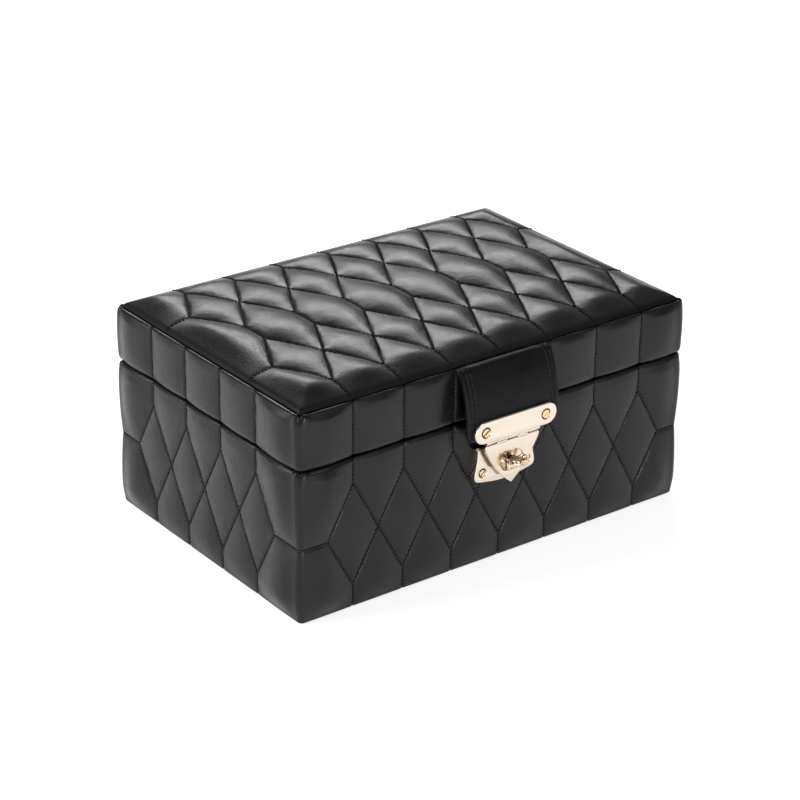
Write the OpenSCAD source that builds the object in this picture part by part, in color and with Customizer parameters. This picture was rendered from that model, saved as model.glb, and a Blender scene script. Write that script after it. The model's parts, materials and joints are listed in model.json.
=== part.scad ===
// Quilted leather jewellery case with a hinged lid, a strap-and-hasp clasp with a turn knob,
// a padded tray with ring rolls and a mirror in the lid.
// Origin: centre of the underside. X runs along the front, the front faces -Y, Z is up. Units: mm.

/* [Case] */
// Width along the front
case_w = 223; // [210:1:240]
// Depth from front to back
case_d = 151; // [144:1:165]
// Height of the base up to its rim
base_h = 74.5; // [73:0.5:80]
// Gap between the base rim and the lid rim
lid_gap = 2.5; // [2.4:0.1:2.8]
// Height of the lid's side band
band_h = 25.5; // [25:0.5:30]
// Height of the padded lid top above the band
pad_h = 6; // [5.5:0.5:8]
// Width of the bevel around the padded lid top
pad_bevel = 14; // [12:1:18]
// Thickness of the padded leather
leather_t = 3.5; // [3:0.1:3.6]
// Radius of the upright corners
corner_r = 4.5; // [4:0.5:6]

/* [Boards and lining] */
// Thickness of the base wall boards
board_t = 5; // [4.8:0.1:5.5]
// Thickness of the lid wall boards
lid_board_t = 4.3; // [4:0.1:4.4]
// Thickness of the suede-covered lining panels
lining_t = 2; // [1.8:0.1:2.2]
// Height of the lining lip above the base rim
lip_h = 4.5; // [3.8:0.1:4.8]
// Thickness of the felt under the case
felt_t = 1; // [0.8:0.1:1.2]

/* [Tray] */
// Height of the lift-out tray
tray_h = 27; // [25:0.5:28]
// Thickness of the tray walls
tray_wall = 3; // [2.6:0.1:3.4]
// Clearance between the tray and the lining, per side
tray_gap = 0.8; // [0.6:0.1:1]
// Position of the main divider to the right of the middle
divider_x = 20; // [10:1:30]
// Height of the ring rolls
roll_h = 20; // [18:0.5:21]

/* [Hinge] */
// Distance of each hinge from the middle
hinge_x = 60; // [50:1:70]
// Length of each hinge
hinge_len = 36; // [36:0.5:40]
// Radius of the hinge barrel
barrel_r = 1.6; // [1.5:0.05:1.6]
// Radius of the hinge pin
pin_r = 0.8; // [0.7:0.05:0.85]

/* [Clasp] */
// Width of the leather strap
strap_w = 53.6; // [52:0.2:56]
// Thickness of the leather strap
strap_t = 2.4; // [2.2:0.1:2.4]
// Length of the bar plate
bar_w = 47.5; // [46:0.5:50]
// Height of the bar plate
bar_h = 10.8; // [10:0.2:10.8]
// Thickness of the bar plate
bar_t = 2; // [1.6:0.1:2.4]
// Thickness of the hasp
hasp_t = 1.6; // [1.2:0.1:1.6]
// How far the keeper plate stands out from the front
keeper_t = 4.5; // [4:0.1:4.6]
// Length of the knob's wings, tip to tip
knob_w = 12.4; // [11:0.2:12.4]
// Height of the knob's wings
knob_h = 5.8; // [5:0.2:5.8]

/* [Hidden] */
$fn = 64;
bore_gap = 0.05;
rim_t = 1.2;
floor_t = 4;
pad_floor_t = 2.5;
ox = case_w / 2 - leather_t;
oy = case_d / 2 - leather_t;
ix = ox - board_t;
iy = oy - board_t;
lx = ox - lid_board_t;
ly = oy - lid_board_t;
lly = ly - lining_t - 0.05;
front_y = -case_d / 2;
floor_top = felt_t + floor_t;
board_top = base_h - rim_t;
lid_z = base_h + lid_gap;
lid_board_z = lid_z + rim_t;
top_board_z = lid_z + band_h - 4;
pad_z = lid_z + band_h;
top_z = pad_z + pad_h;
wx = ix - lining_t;
wy = iy - lining_t;
well_z = floor_top + pad_floor_t;
// Tray
tx = wx - tray_gap;
ty = wy - tray_gap;
tray_z = base_h - 1.5 - tray_h;
tray_floor_t = 2;
tray_in_z = tray_z + tray_floor_t;
tray_top = tray_z + tray_h;
tix = tx - tray_wall;
tiy = ty - tray_wall;
div_t = 3;
roll_n = 5;
roll_pitch = 2 * tiy / roll_n;
roll_x0 = -tix + 1.7;
roll_x1 = divider_x - div_t / 2 - 0.2;
cross_pitch = 2 * tiy / 3;
ledge_w = 4;
low_div_h = 30.5;
// Mirror panel in the lid
panel_z = top_board_z - 5.5;
glass_x = 75;
glass_y = 47.5;
glass_t = 3;
// Hinge
thin_back = oy + rim_t;
hy = case_d / 2 - barrel_r;
hz = base_h + lid_gap / 2;
leaf_y = iy + 0.2;
lid_leaf_y = ly + 0.1;
leaf_t = 1.15;
screw_r = 1.2;
knuckle = hinge_len / 5;
knuckle_gap = 0.1;
spine_x = ox - 4;
seam_y = oy - 6;
// Clasp
axis_y = front_y - 1.7;
axis_z = pad_z - 1.3;
strap_back = front_y - 7.5;
strap_front = strap_back - strap_t;
strap_low = base_h - 5.4;
bar_z = base_h - 0.8;
bar_front = strap_front - bar_t;
bar_screw_x = 17.4;
back_plate_t = 1;
hasp_axis_y = strap_back - 1.2;
hasp_axis_z = base_h - 7.5;
hasp_barrel_r = 1.5;
hasp_pin_r = 0.7;
hasp_back = hasp_axis_y + 1;
hasp_front = hasp_back - hasp_t;
hasp_top = hasp_axis_z - 1.8;
// Edges of five hasp knuckles: 0, 2 and 4 are on the back plate, 1 and 3 on the hasp
k_edge = [-15.6, -9.1, -3, 3, 9.1, 15.6];
keeper_front = front_y - keeper_t;
knob_z = hasp_axis_z - 12.7;
post_r = 2.2;
post_end = -oy + 2.4;
wing_back = hasp_front - 0.6;
wing_full = wing_back - 4;
wing_ridge = wing_full - 1.6;
keeper_screw_x = 13;
keeper_screw_z = knob_z - 5.1;
keeper_screw_r = 1.1;
leather = [0.05, 0.05, 0.055];
suede = [0.2, 0.19, 0.2];
boardc = [0.45, 0.38, 0.3];
gold = [0.85, 0.72, 0.58];
steel = [0.7, 0.7, 0.7];

// A box between two corners
module box(a, b) {
  translate(a)
    cube([b[0] - a[0], b[1] - a[1], b[2] - a[2]]);
}

// A cylinder along +X from x0 to x1
module rod_x(x0, x1, y, z, r) {
  translate([x0, y, z])
    rotate([0, 90, 0])
      cylinder(h = x1 - x0, r = r);
}

// A cylinder along -Y from y0 down to y1
module rod_y(y0, y1, x, z, r) {
  translate([x, y0, z])
    rotate([90, 0, 0])
      cylinder(h = y0 - y1, r = r);
}

// An outline drawn in X and Z, standing from y0 towards the front to y1
module plate_y(y0, y1) {
  translate([0, y0, 0])
    rotate([90, 0, 0])
      linear_extrude(y0 - y1)
        children();
}

// A section drawn in Y and Z, running from -w to w along X
module section_x(w) {
  translate([-w, 0, 0])
    rotate([90, 0, 90])
      linear_extrude(2 * w)
        children();
}

// Rounded rectangle of half sizes x and y
module round_rect(x, y, r) {
  square([2 * x, 2 * y - 2 * r], center = true);
  square([2 * x - 2 * r, 2 * y], center = true);
  for (i = [-1, 1])
    for (j = [-1, 1])
      translate([i * (x - r), j * (y - r)])
        circle(r);
}

// Leather around the walls: an upright shell with its edge turned in over the boards
module leather_ring(z0, z1, rim0, rim1, rx, ry) {
  translate([0, 0, z0])
    linear_extrude(z1 - z0)
      difference() {
        round_rect(case_w / 2, case_d / 2, corner_r);
        square([2 * ox, 2 * oy], center = true);
      }
  translate([0, 0, rim0])
    linear_extrude(rim1 - rim0)
      difference() {
        square([2 * ox + 1, 2 * oy + 1], center = true);
        square([2 * rx, 2 * ry], center = true);
      }
}

module base_ring() {
  leather_ring(felt_t / 2, base_h, board_top, base_h, ix, iy);
}

module lid_ring() {
  leather_ring(lid_z, pad_z, lid_z, lid_board_z, lx, ly);
}

module felt_base_sheet()
  color([0.08, 0.08, 0.08])
    linear_extrude(felt_t)
      round_rect(ox - 1, oy - 1, 4);

module base_floor_board()
  color(boardc)
    box([-ox, -oy, felt_t], [ox, oy, floor_top]);

module base_front_board()
  color(boardc)
    difference() {
      box([-ox, -oy, floor_top], [ox, -iy, board_top]);
      rod_y(-iy - 0.8, -oy - 1, 0, knob_z, post_r + 0.4);
      rod_y(-oy + 2.6, -oy + 0.2, 0, knob_z, 4.6);
      for (s = [-1, 1])
        rod_y(-oy + 3, -oy - 1, s * keeper_screw_x, keeper_screw_z, keeper_screw_r);
    }

module base_back_board()
  color(boardc)
    difference() {
      box([-ox, iy, floor_top], [ox, oy, board_top]);
      hinge_screw_bores(board_top - 8);
    }

module base_left_board()
  color(boardc)
    box([-ox, -iy, floor_top], [-ix, iy, board_top]);

module base_right_board()
  color(boardc)
    box([ix, -iy, floor_top], [ox, iy, board_top]);

module base_leather_wrap()
  color(leather)
    difference() {
      base_ring();
      box([-case_w, seam_y, -1], [case_w, case_d, base_h + 1]);
      rod_y(-oy + 1, front_y - 1, 0, knob_z, post_r + 0.4);
      for (s = [-1, 1])
        rod_y(-oy + 1, front_y - 1, s * keeper_screw_x, keeper_screw_z, keeper_screw_r);
    }

module base_leather_back()
  color(leather)
    difference() {
      base_ring();
      box([-case_w, -case_d, -1], [case_w, seam_y + 0.05, base_h + 1]);
      box([-case_w, thin_back, base_h - 9], [case_w, case_d, base_h + 1]);
      for (s = [-1, 1])
        box([s * hinge_x - hinge_len / 2 - 0.1, iy - 1, board_top],
          [s * hinge_x + hinge_len / 2 + 0.1, case_d, base_h + 1]);
    }

module base_floor_pad()
  color(suede)
    box([-wx, -wy, floor_top], [wx, wy, well_z]);

module base_lining_front()
  color(suede)
    box([-ix, -iy, floor_top], [ix, -wy, base_h + lip_h]);

module base_lining_back()
  color(suede)
    box([-ix, wy, floor_top], [ix, iy, base_h + lip_h]);

module base_lining_left()
  color(suede)
    box([-ix, -wy, floor_top], [-wx, wy, base_h + lip_h]);

module base_lining_right()
  color(suede)
    box([wx, -wy, floor_top], [ix, wy, base_h + lip_h]);

module tray_ledges()
  color(suede)
    for (s = [-1, 1])
      box([min(s * wx, s * (wx - ledge_w)), -wy, well_z],
        [max(s * wx, s * (wx - ledge_w)), wy, tray_z - 0.3]);

module well_dividers()
  color(suede)
    union() {
      box([-31.5, -wy, well_z], [-28.5, wy, well_z + low_div_h]);
      box([-28.5, -1.5, well_z], [wx - ledge_w, 1.5, well_z + low_div_h]);
    }

// Screw positions along one hinge
module at_hinge_screws()
  for (s = [-1, 1])
    for (i = [-1, 0, 1])
      translate([s * hinge_x + i * (hinge_len / 2 - 5), 0, 0])
        children();

module hinge_screw_bores(z0)
  at_hinge_screws()
    translate([0, leaf_y + 2.2, z0])
      cylinder(h = 9, r = screw_r);

// Knuckles 0, 2 and 4 belong to the base leaf, 1 and 3 to the lid leaf
module base_leaf(xc)
  color(steel)
    difference() {
      union() {
        box([xc - hinge_len / 2, leaf_y, base_h - leaf_t],
          [xc + hinge_len / 2, hy - barrel_r - 0.1, base_h]);
        for (k = [0, 2, 4])
          box([xc - hinge_len / 2 + k * knuckle + knuckle_gap, hy - barrel_r - 0.2,
            base_h - leaf_t],
            [xc - hinge_len / 2 + (k + 1) * knuckle - knuckle_gap, hy - 0.65, base_h]);
        for (k = [0, 2, 4])
          rod_x(xc - hinge_len / 2 + k * knuckle + knuckle_gap,
            xc - hinge_len / 2 + (k + 1) * knuckle - knuckle_gap, hy, hz, barrel_r);
      }
      rod_x(xc - hinge_len, xc + hinge_len, hy, hz, pin_r);
      for (i = [-1, 0, 1])
        translate([xc + i * (hinge_len / 2 - 5), leaf_y + 2.2, base_h - 3]) {
          cylinder(h = 5, r = screw_r);
          translate([0, 0, 2.4])
            cylinder(h = 2, r = 2);
        }
    }

module hinge_left_base_leaf()
  base_leaf(-hinge_x);

module hinge_right_base_leaf()
  base_leaf(hinge_x);

module hinge_screws_base()
  color(steel)
    at_hinge_screws()
      translate([0, leaf_y + 2.2, base_h])
        difference() {
          union() {
            translate([0, 0, -0.6])
              cylinder(h = 0.5, r = 2);
            translate([0, 0, -rim_t - 8])
              cylinder(h = 8 + rim_t - 0.5, r = screw_r);
          }
          translate([-3, -0.3, -0.35])
            cube([6, 0.6, 1]);
        }

module keeper_outline()
  polygon([[-15.35, 0], [15.35, 0], [16.35, -1], [17.6, -14], [17.4, -15.8], [16.5, -17],
    [15, -17.6], [10, -18.5], [5, -19.25], [0, -19.6], [-5, -19.25], [-10, -18.5],
    [-15, -17.6], [-16.5, -17], [-17.4, -15.8], [-17.6, -14], [-16.35, -1]]);

module keeper_plate()
  color(gold)
    difference() {
      union() {
        plate_y(front_y, keeper_front)
          translate([0, hasp_axis_z - 4.6])
            keeper_outline();
        rod_y(keeper_front + 0.5, keeper_front - 1.6, 0, knob_z, 4.4);
      }
      rod_y(front_y + 1, keeper_front - 3, 0, knob_z, post_r + bore_gap);
      for (s = [-1, 1]) {
        rod_y(front_y + 1, keeper_front - 1, s * keeper_screw_x, keeper_screw_z,
          keeper_screw_r);
        rod_y(keeper_front + 1, keeper_front - 1, s * keeper_screw_x, keeper_screw_z, 2.4);
      }
    }

module keeper_screws()
  color(gold)
    for (s = [-1, 1])
      difference() {
        union() {
          rod_y(keeper_front + 1, keeper_front - 0.1, s * keeper_screw_x, keeper_screw_z,
            2.4);
          rod_y(-oy + 3, keeper_front + 0.5, s * keeper_screw_x, keeper_screw_z,
            keeper_screw_r);
        }
        box([s * keeper_screw_x - 3, keeper_front - 1, keeper_screw_z - 0.35],
          [s * keeper_screw_x + 3, keeper_front + 0.4, keeper_screw_z + 0.35]);
      }

// Leather strip glued across the back, bowed around the hinge barrels
module spine_section() {
  difference() {
    translate([hy, hz])
      circle(barrel_r + 1.35);
    translate([hy, hz])
      circle(barrel_r + 0.2);
    translate([thin_back + 0.1 - 10, hz - 10])
      square([10, 20]);
  }
  translate([thin_back + 0.1, hz - 9.5])
    square([1.15, 7.2]);
  translate([thin_back + 0.1, hz + 2.3])
    square([1.15, 7.2]);
}

module spine_strip()
  color(leather)
    section_x(spine_x)
      spine_section();

module tray_floor()
  color(suede)
    box([-tx, -ty, tray_z], [tx, ty, tray_in_z]);

module tray_wall_front()
  color(suede)
    box([-tx, -ty, tray_in_z], [tx, -tiy, tray_top]);

module tray_wall_back()
  color(suede)
    box([-tx, tiy, tray_in_z], [tx, ty, tray_top]);

module tray_wall_left()
  color(suede)
    box([-tx, -tiy, tray_in_z], [-tix, tiy, tray_top]);

module tray_wall_right()
  color(suede)
    box([tix, -tiy, tray_in_z], [tx, tiy, tray_top]);

module tray_divider_main()
  color(suede)
    box([divider_x - div_t / 2, -tiy, tray_in_z],
      [divider_x + div_t / 2, tiy, tray_top - 2]);

module tray_cross_dividers()
  color(suede)
    for (s = [-1, 1])
      box([divider_x + div_t / 2, s * cross_pitch / 2 - div_t / 2, tray_in_z],
        [tix, s * cross_pitch / 2 + div_t / 2, tray_top - 3]);

// One padded ring roll with a round top
module ring_roll(n) {
  r = roll_pitch / 2 - 0.15;
  yc = -tiy + (n - 0.5) * roll_pitch;
  color(suede)
    translate([roll_x0, yc, tray_in_z])
      rotate([90, 0, 90])
        linear_extrude(roll_x1 - roll_x0)
          union() {
            translate([-r, 0])
              square([2 * r, roll_h - r]);
            intersection() {
              translate([0, roll_h - r])
                circle(r);
              translate([-r, 0])
                square([2 * r, roll_h]);
            }
          }
}

module ring_roll_1()
  ring_roll(1);

module ring_roll_2()
  ring_roll(2);

module ring_roll_3()
  ring_roll(3);

module ring_roll_4()
  ring_roll(4);

module ring_roll_5()
  ring_roll(5);

// Small leather tabs for lifting the tray
module tray_pulls()
  color(leather)
    for (s = [-1, 1])
      translate([s < 0 ? -tix : tix - 1.2, 0, tray_top - 11])
        rotate([90, 0, 90])
          linear_extrude(1.2)
            union() {
              translate([-8, 0])
                square([16, 9]);
              intersection() {
                translate([0, 8])
                  circle(8);
                translate([-8, 8])
                  square([16, 8]);
              }
            }

module lid_top_board()
  color(boardc)
    box([-ox, -oy, top_board_z], [ox, oy, pad_z]);

module lid_front_board()
  color(boardc)
    box([-ox, -oy, lid_board_z], [ox, -ly, top_board_z]);

module lid_back_board()
  color(boardc)
    difference() {
      box([-ox, ly, lid_board_z], [ox, oy, top_board_z]);
      at_hinge_screws()
        translate([0, lid_leaf_y + 2.1, lid_board_z - 1])
          cylinder(h = 9, r = screw_r);
    }

module lid_left_board()
  color(boardc)
    box([-ox, -ly, lid_board_z], [-lx, ly, top_board_z]);

module lid_right_board()
  color(boardc)
    box([lx, -ly, lid_board_z], [ox, ly, top_board_z]);

module lid_leather_wrap()
  color(leather)
    difference() {
      lid_ring();
      box([-case_w, seam_y, lid_z - 1], [case_w, case_d, pad_z + 1]);
    }

module lid_leather_back()
  color(leather)
    difference() {
      lid_ring();
      box([-case_w, -case_d, lid_z - 1], [case_w, seam_y + 0.05, pad_z + 1]);
      box([-case_w, thin_back, lid_z - 1], [case_w, case_d, lid_z + 9]);
      for (s = [-1, 1])
        box([s * hinge_x - hinge_len / 2 - 0.1, ly - 1, lid_z - 1],
          [s * hinge_x + hinge_len / 2 + 0.1, case_d, lid_board_z]);
    }

// Section of the padded top across a half size a: inset, lower edge, shoulder and top heights
module pad_section(a, t, h1, xm, h2, h3)
  polygon([[-a + t, 0], [a - t, 0], [a - t, h1], [a - xm, h2], [a - pad_bevel, h3],
    [-a + pad_bevel, h3], [-a + xm, h2], [-a + t, h1]]);

module pad_body(t, h1, xm, h2, h3)
  translate([0, 0, pad_z])
    intersection() {
      linear_extrude(pad_h + 1)
        round_rect(case_w / 2 - t, case_d / 2 - t, corner_r - t / 2);
      rotate([90, 0, 0])
        linear_extrude(case_d + 2, center = true)
          pad_section(case_w / 2, t, h1, xm, h2, h3);
      rotate([90, 0, 90])
        linear_extrude(case_w + 2, center = true)
          pad_section(case_d / 2, t, h1, xm, h2, h3);
    }

module strap_slot()
  box([-strap_w / 2 - 0.1, -case_d, pad_z - 1], [strap_w / 2 + 0.1, front_y + 7.6,
    pad_z + 1.65]);

module foam_body()
  pad_body(2, 0.5, 6, pad_h - 3.3, pad_h - 1.5);

module lid_top_foam()
  color([0.8, 0.75, 0.6])
    difference() {
      foam_body();
      strap_slot();
    }

module lid_top_leather()
  color(leather)
    difference() {
      pad_body(0, 1.1, 5, pad_h - 1.9, pad_h);
      foam_body();
      strap_slot();
    }

module lid_wall_linings()
  color(suede)
    union() {
      box([-lx, -ly, lid_z + 3.5], [lx, -ly + lining_t, panel_z]);
      box([-lx, ly - lining_t, lid_z + 3.5], [lx, ly, panel_z]);
      box([-lx, -lly, lid_z + 3.5], [-lx + lining_t, lly, panel_z]);
      box([lx - lining_t, -lly, lid_z + 3.5], [lx, lly, panel_z]);
    }

module mirror_panel()
  color(suede)
    difference() {
      box([-lx, -ly, panel_z], [lx, ly, top_board_z]);
      box([-glass_x, -glass_y, panel_z - 1], [glass_x, glass_y, panel_z + glass_t + 1]);
    }

module mirror_glass()
  color([0.8, 0.85, 0.9])
    box([-glass_x, -glass_y, panel_z + 1], [glass_x, glass_y, panel_z + 1 + glass_t]);

module lid_leaf(xc)
  color(steel)
    difference() {
      union() {
        box([xc - hinge_len / 2, lid_leaf_y, lid_z],
          [xc + hinge_len / 2, hy - barrel_r - 0.1, lid_z + leaf_t]);
        for (k = [1, 3])
          box([xc - hinge_len / 2 + k * knuckle + knuckle_gap, hy - barrel_r - 0.2, lid_z],
            [xc - hinge_len / 2 + (k + 1) * knuckle - knuckle_gap, hy - 0.65,
              lid_z + leaf_t]);
        for (k = [1, 3])
          rod_x(xc - hinge_len / 2 + k * knuckle + knuckle_gap,
            xc - hinge_len / 2 + (k + 1) * knuckle - knuckle_gap, hy, hz, barrel_r);
      }
      rod_x(xc - hinge_len, xc + hinge_len, hy, hz, pin_r + bore_gap);
      for (i = [-1, 0, 1])
        translate([xc + i * (hinge_len / 2 - 5), lid_leaf_y + 2.1, lid_z - 1]) {
          cylinder(h = 5, r = screw_r);
          cylinder(h = 1.6, r = 2);
        }
    }

module hinge_left_lid_leaf()
  lid_leaf(-hinge_x);

module hinge_right_lid_leaf()
  lid_leaf(hinge_x);

module hinge_pins()
  color(steel)
    for (s = [-1, 1])
      rod_x(s * hinge_x - hinge_len / 2 + knuckle_gap,
        s * hinge_x + hinge_len / 2 - knuckle_gap, hy, hz, pin_r);

module hinge_screws_lid()
  color(steel)
    at_hinge_screws()
      translate([0, lid_leaf_y + 2.1, lid_z])
        difference() {
          union() {
            translate([0, 0, 0.1])
              cylinder(h = 0.5, r = 2);
            translate([0, 0, 0.5])
              cylinder(h = 8, r = screw_r);
          }
          translate([-3, -0.3, -0.65])
            cube([6, 0.6, 1]);
        }

module strap_root()
  color(leather)
    box([-strap_w / 2, front_y - 0.5, pad_z], [strap_w / 2, front_y + 7.5, pad_z + 1.6]);

module strap_section() {
  h = strap_t / 2;
  polygon([[strap_front, strap_low], [strap_front, bar_z + 6],
    [axis_y - 5.2 - strap_t, axis_z - 18.2], [axis_y - 4 - strap_t, axis_z - 12.8],
    [axis_y - 2.2 - strap_t, axis_z - 7.6], [axis_y - 0.3 - strap_t, axis_z - 3],
    [axis_y - 0.75 * h, axis_z + 0.3], [axis_y + 0.75 * h, axis_z - 0.3],
    [axis_y - 0.3, axis_z - 3.8], [axis_y - 2.2, axis_z - 8.5],
    [axis_y - 4, axis_z - 13.5], [axis_y - 5.2, axis_z - 18.5],
    [strap_back, bar_z + 6], [strap_back, strap_low]]);
}

module strap_tab()
  color(leather)
    difference() {
      union() {
        rod_x(-strap_w / 2, strap_w / 2, axis_y, axis_z, strap_t / 2);
        intersection() {
          section_x(strap_w / 2)
            strap_section();
          plate_y(0, -case_d)
            union() {
              translate([-strap_w / 2, strap_low + 5])
                square([strap_w, 60]);
              translate([-strap_w / 2 + 5, strap_low])
                square([strap_w - 10, 6]);
              for (s = [-1, 1])
                translate([s * (strap_w / 2 - 5), strap_low + 5])
                  circle(5);
            }
        }
      }
      for (s = [-1, 1])
        rod_y(0, -case_d, s * bar_screw_x, bar_z, 1.3);
    }

module bar_outline()
  union() {
    square([bar_w - bar_h, bar_h], center = true);
    for (s = [-1, 1])
      translate([s * (bar_w - bar_h) / 2, 0])
        circle(bar_h / 2);
  }

module bar_plate()
  color(gold)
    difference() {
      plate_y(strap_front, bar_front)
        translate([0, bar_z])
          bar_outline();
      for (s = [-1, 1])
        rod_y(strap_front + 1, bar_front - 1, s * bar_screw_x, bar_z, 1.3);
    }

module bar_back_plate()
  color(gold)
    difference() {
      union() {
        box([-22, strap_back, hasp_axis_z + 1.8], [22, strap_back + back_plate_t,
          bar_z + 4.4]);
        for (k = [0, 2, 4]) {
          box([k_edge[k] + 0.1, hasp_axis_y, hasp_axis_z],
            [k_edge[k + 1] - 0.1, strap_back + back_plate_t, strap_low - 0.15]);
          rod_x(k_edge[k] + 0.1, k_edge[k + 1] - 0.1, hasp_axis_y, hasp_axis_z,
            hasp_barrel_r);
        }
      }
      rod_x(-20, 20, hasp_axis_y, hasp_axis_z, hasp_pin_r);
      for (s = [-1, 1])
        rod_y(0, -case_d, s * bar_screw_x, bar_z, 1.3);
    }

module bar_screws()
  color(gold)
    for (s = [-1, 1])
      difference() {
        union() {
          rod_y(bar_front, bar_front - 0.7, s * bar_screw_x, bar_z, 2.6);
          rod_y(strap_back + back_plate_t, bar_front - 0.3, s * bar_screw_x, bar_z, 1.3);
        }
        box([s * bar_screw_x - 3, bar_front - 1, bar_z - 0.4],
          [s * bar_screw_x + 3, bar_front - 0.25, bar_z + 0.4]);
      }

module hasp_pin()
  color(gold)
    rod_x(-15.5, 15.5, hasp_axis_y, hasp_axis_z, hasp_pin_r);

module hasp_outline()
  polygon([[-15.6, 0], [15.6, 0], [15.85, -0.6], [15.4, -2.2], [13.05, -5.3],
    [11.2, -8.6], [9.4, -11.9], [7.1, -15.1], [4.6, -18.1], [2.2, -20.5], [0.5, -22.1],
    [-0.5, -22.1], [-2.2, -20.5], [-4.6, -18.1], [-7.1, -15.1], [-9.4, -11.9],
    [-11.2, -8.6], [-13.05, -5.3], [-15.4, -2.2], [-15.85, -0.6]]);

module hasp_plate()
  color(gold)
    difference() {
      union() {
        plate_y(hasp_back, hasp_front)
          translate([0, hasp_top])
            hasp_outline();
        for (k = [1, 3]) {
          box([k_edge[k] + 0.1, hasp_front, hasp_top - 0.5],
            [k_edge[k + 1] - 0.1, hasp_back, hasp_axis_z]);
          rod_x(k_edge[k] + 0.1, k_edge[k + 1] - 0.1, hasp_axis_y, hasp_axis_z,
            hasp_barrel_r);
        }
      }
      rod_x(-20, 20, hasp_axis_y, hasp_axis_z, hasp_pin_r + bore_gap);
      plate_y(hasp_back + 1, hasp_front - 1)
        translate([0, knob_z])
          union() {
            square([4.4, 9.2], center = true);
            for (s = [-1, 1])
              translate([s * 2.2, 0])
                circle(4.6);
          }
    }

// Plain winged thumb turn on a round post
module turn_knob()
  color(gold)
    union() {
      rod_y(post_end, wing_back - 1, 0, knob_z, post_r);
      plate_y(wing_back, wing_full)
        translate([0, knob_z])
          union() {
            square([knob_w - knob_h, knob_h], center = true);
            for (s = [-1, 1])
              translate([s * (knob_w - knob_h) / 2, 0])
                circle(knob_h / 2);
          }
      plate_y(wing_full + 0.5, wing_ridge)
        translate([0, knob_z])
          union() {
            square([knob_w - 6.4, 3.2], center = true);
            for (s = [-1, 1])
              translate([s * (knob_w - 6.4) / 2, 0])
                circle(1.6);
          }
    }

module knob_clip()
  color(steel)
    difference() {
      rod_y(-oy + 1.8, -oy + 0.8, 0, knob_z, 4);
      rod_y(-oy + 3, -oy, 0, knob_z, post_r);
    }

felt_base_sheet();
base_floor_board();
base_front_board();
base_back_board();
base_left_board();
base_right_board();
base_leather_wrap();
base_leather_back();
base_floor_pad();
base_lining_front();
base_lining_back();
base_lining_left();
base_lining_right();
tray_ledges();
well_dividers();
hinge_left_base_leaf();
hinge_right_base_leaf();
hinge_screws_base();
keeper_plate();
keeper_screws();
spine_strip();
tray_floor();
tray_wall_front();
tray_wall_back();
tray_wall_left();
tray_wall_right();
tray_divider_main();
tray_cross_dividers();
ring_roll_1();
ring_roll_2();
ring_roll_3();
ring_roll_4();
ring_roll_5();
tray_pulls();
lid_top_board();
lid_front_board();
lid_back_board();
lid_left_board();
lid_right_board();
lid_leather_wrap();
lid_leather_back();
lid_top_foam();
lid_top_leather();
lid_wall_linings();
mirror_panel();
mirror_glass();
hinge_left_lid_leaf();
hinge_right_lid_leaf();
hinge_pins();
hinge_screws_lid();
strap_root();
strap_tab();
bar_plate();
bar_back_plate();
bar_screws();
hasp_pin();
hasp_plate();
turn_knob();
knob_clip();
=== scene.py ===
import bpy
import bmesh
import json
import math
import numpy as np
from mathutils import Matrix, Vector

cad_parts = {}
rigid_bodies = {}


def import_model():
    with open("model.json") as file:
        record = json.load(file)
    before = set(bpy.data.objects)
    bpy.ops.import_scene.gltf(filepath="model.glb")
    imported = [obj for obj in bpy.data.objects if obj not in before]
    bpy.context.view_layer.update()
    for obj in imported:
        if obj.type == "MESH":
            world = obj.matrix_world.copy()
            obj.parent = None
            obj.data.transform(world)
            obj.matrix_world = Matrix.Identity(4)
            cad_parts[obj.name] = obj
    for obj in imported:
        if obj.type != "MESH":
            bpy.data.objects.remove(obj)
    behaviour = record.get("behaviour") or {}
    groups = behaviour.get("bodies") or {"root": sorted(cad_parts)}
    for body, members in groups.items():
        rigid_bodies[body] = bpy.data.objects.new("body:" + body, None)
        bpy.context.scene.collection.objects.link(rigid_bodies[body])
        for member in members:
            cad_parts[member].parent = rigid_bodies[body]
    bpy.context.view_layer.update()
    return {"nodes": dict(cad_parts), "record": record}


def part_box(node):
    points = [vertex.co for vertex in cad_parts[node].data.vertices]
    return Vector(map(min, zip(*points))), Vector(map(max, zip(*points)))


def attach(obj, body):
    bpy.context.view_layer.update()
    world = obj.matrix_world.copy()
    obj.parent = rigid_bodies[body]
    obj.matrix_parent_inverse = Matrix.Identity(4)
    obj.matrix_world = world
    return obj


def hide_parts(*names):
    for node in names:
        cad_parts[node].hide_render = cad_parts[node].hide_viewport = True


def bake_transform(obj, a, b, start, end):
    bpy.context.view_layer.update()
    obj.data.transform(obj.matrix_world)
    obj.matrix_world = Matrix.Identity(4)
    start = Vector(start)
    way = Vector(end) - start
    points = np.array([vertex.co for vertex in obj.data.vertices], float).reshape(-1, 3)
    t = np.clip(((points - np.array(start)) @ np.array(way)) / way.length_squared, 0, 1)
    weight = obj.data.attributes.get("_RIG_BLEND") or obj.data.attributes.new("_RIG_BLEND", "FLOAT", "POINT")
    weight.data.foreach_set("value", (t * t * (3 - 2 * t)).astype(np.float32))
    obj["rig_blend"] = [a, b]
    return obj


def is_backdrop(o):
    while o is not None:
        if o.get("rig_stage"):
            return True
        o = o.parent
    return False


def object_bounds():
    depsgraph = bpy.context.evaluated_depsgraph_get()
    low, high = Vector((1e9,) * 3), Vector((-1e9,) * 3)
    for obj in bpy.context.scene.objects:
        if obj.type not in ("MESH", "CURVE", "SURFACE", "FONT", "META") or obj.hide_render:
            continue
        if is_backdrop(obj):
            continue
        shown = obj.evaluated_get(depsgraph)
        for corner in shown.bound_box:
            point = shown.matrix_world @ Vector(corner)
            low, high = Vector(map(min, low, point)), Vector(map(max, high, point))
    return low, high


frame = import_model()
MM = 0.001
rng = np.random.default_rng(11)
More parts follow.
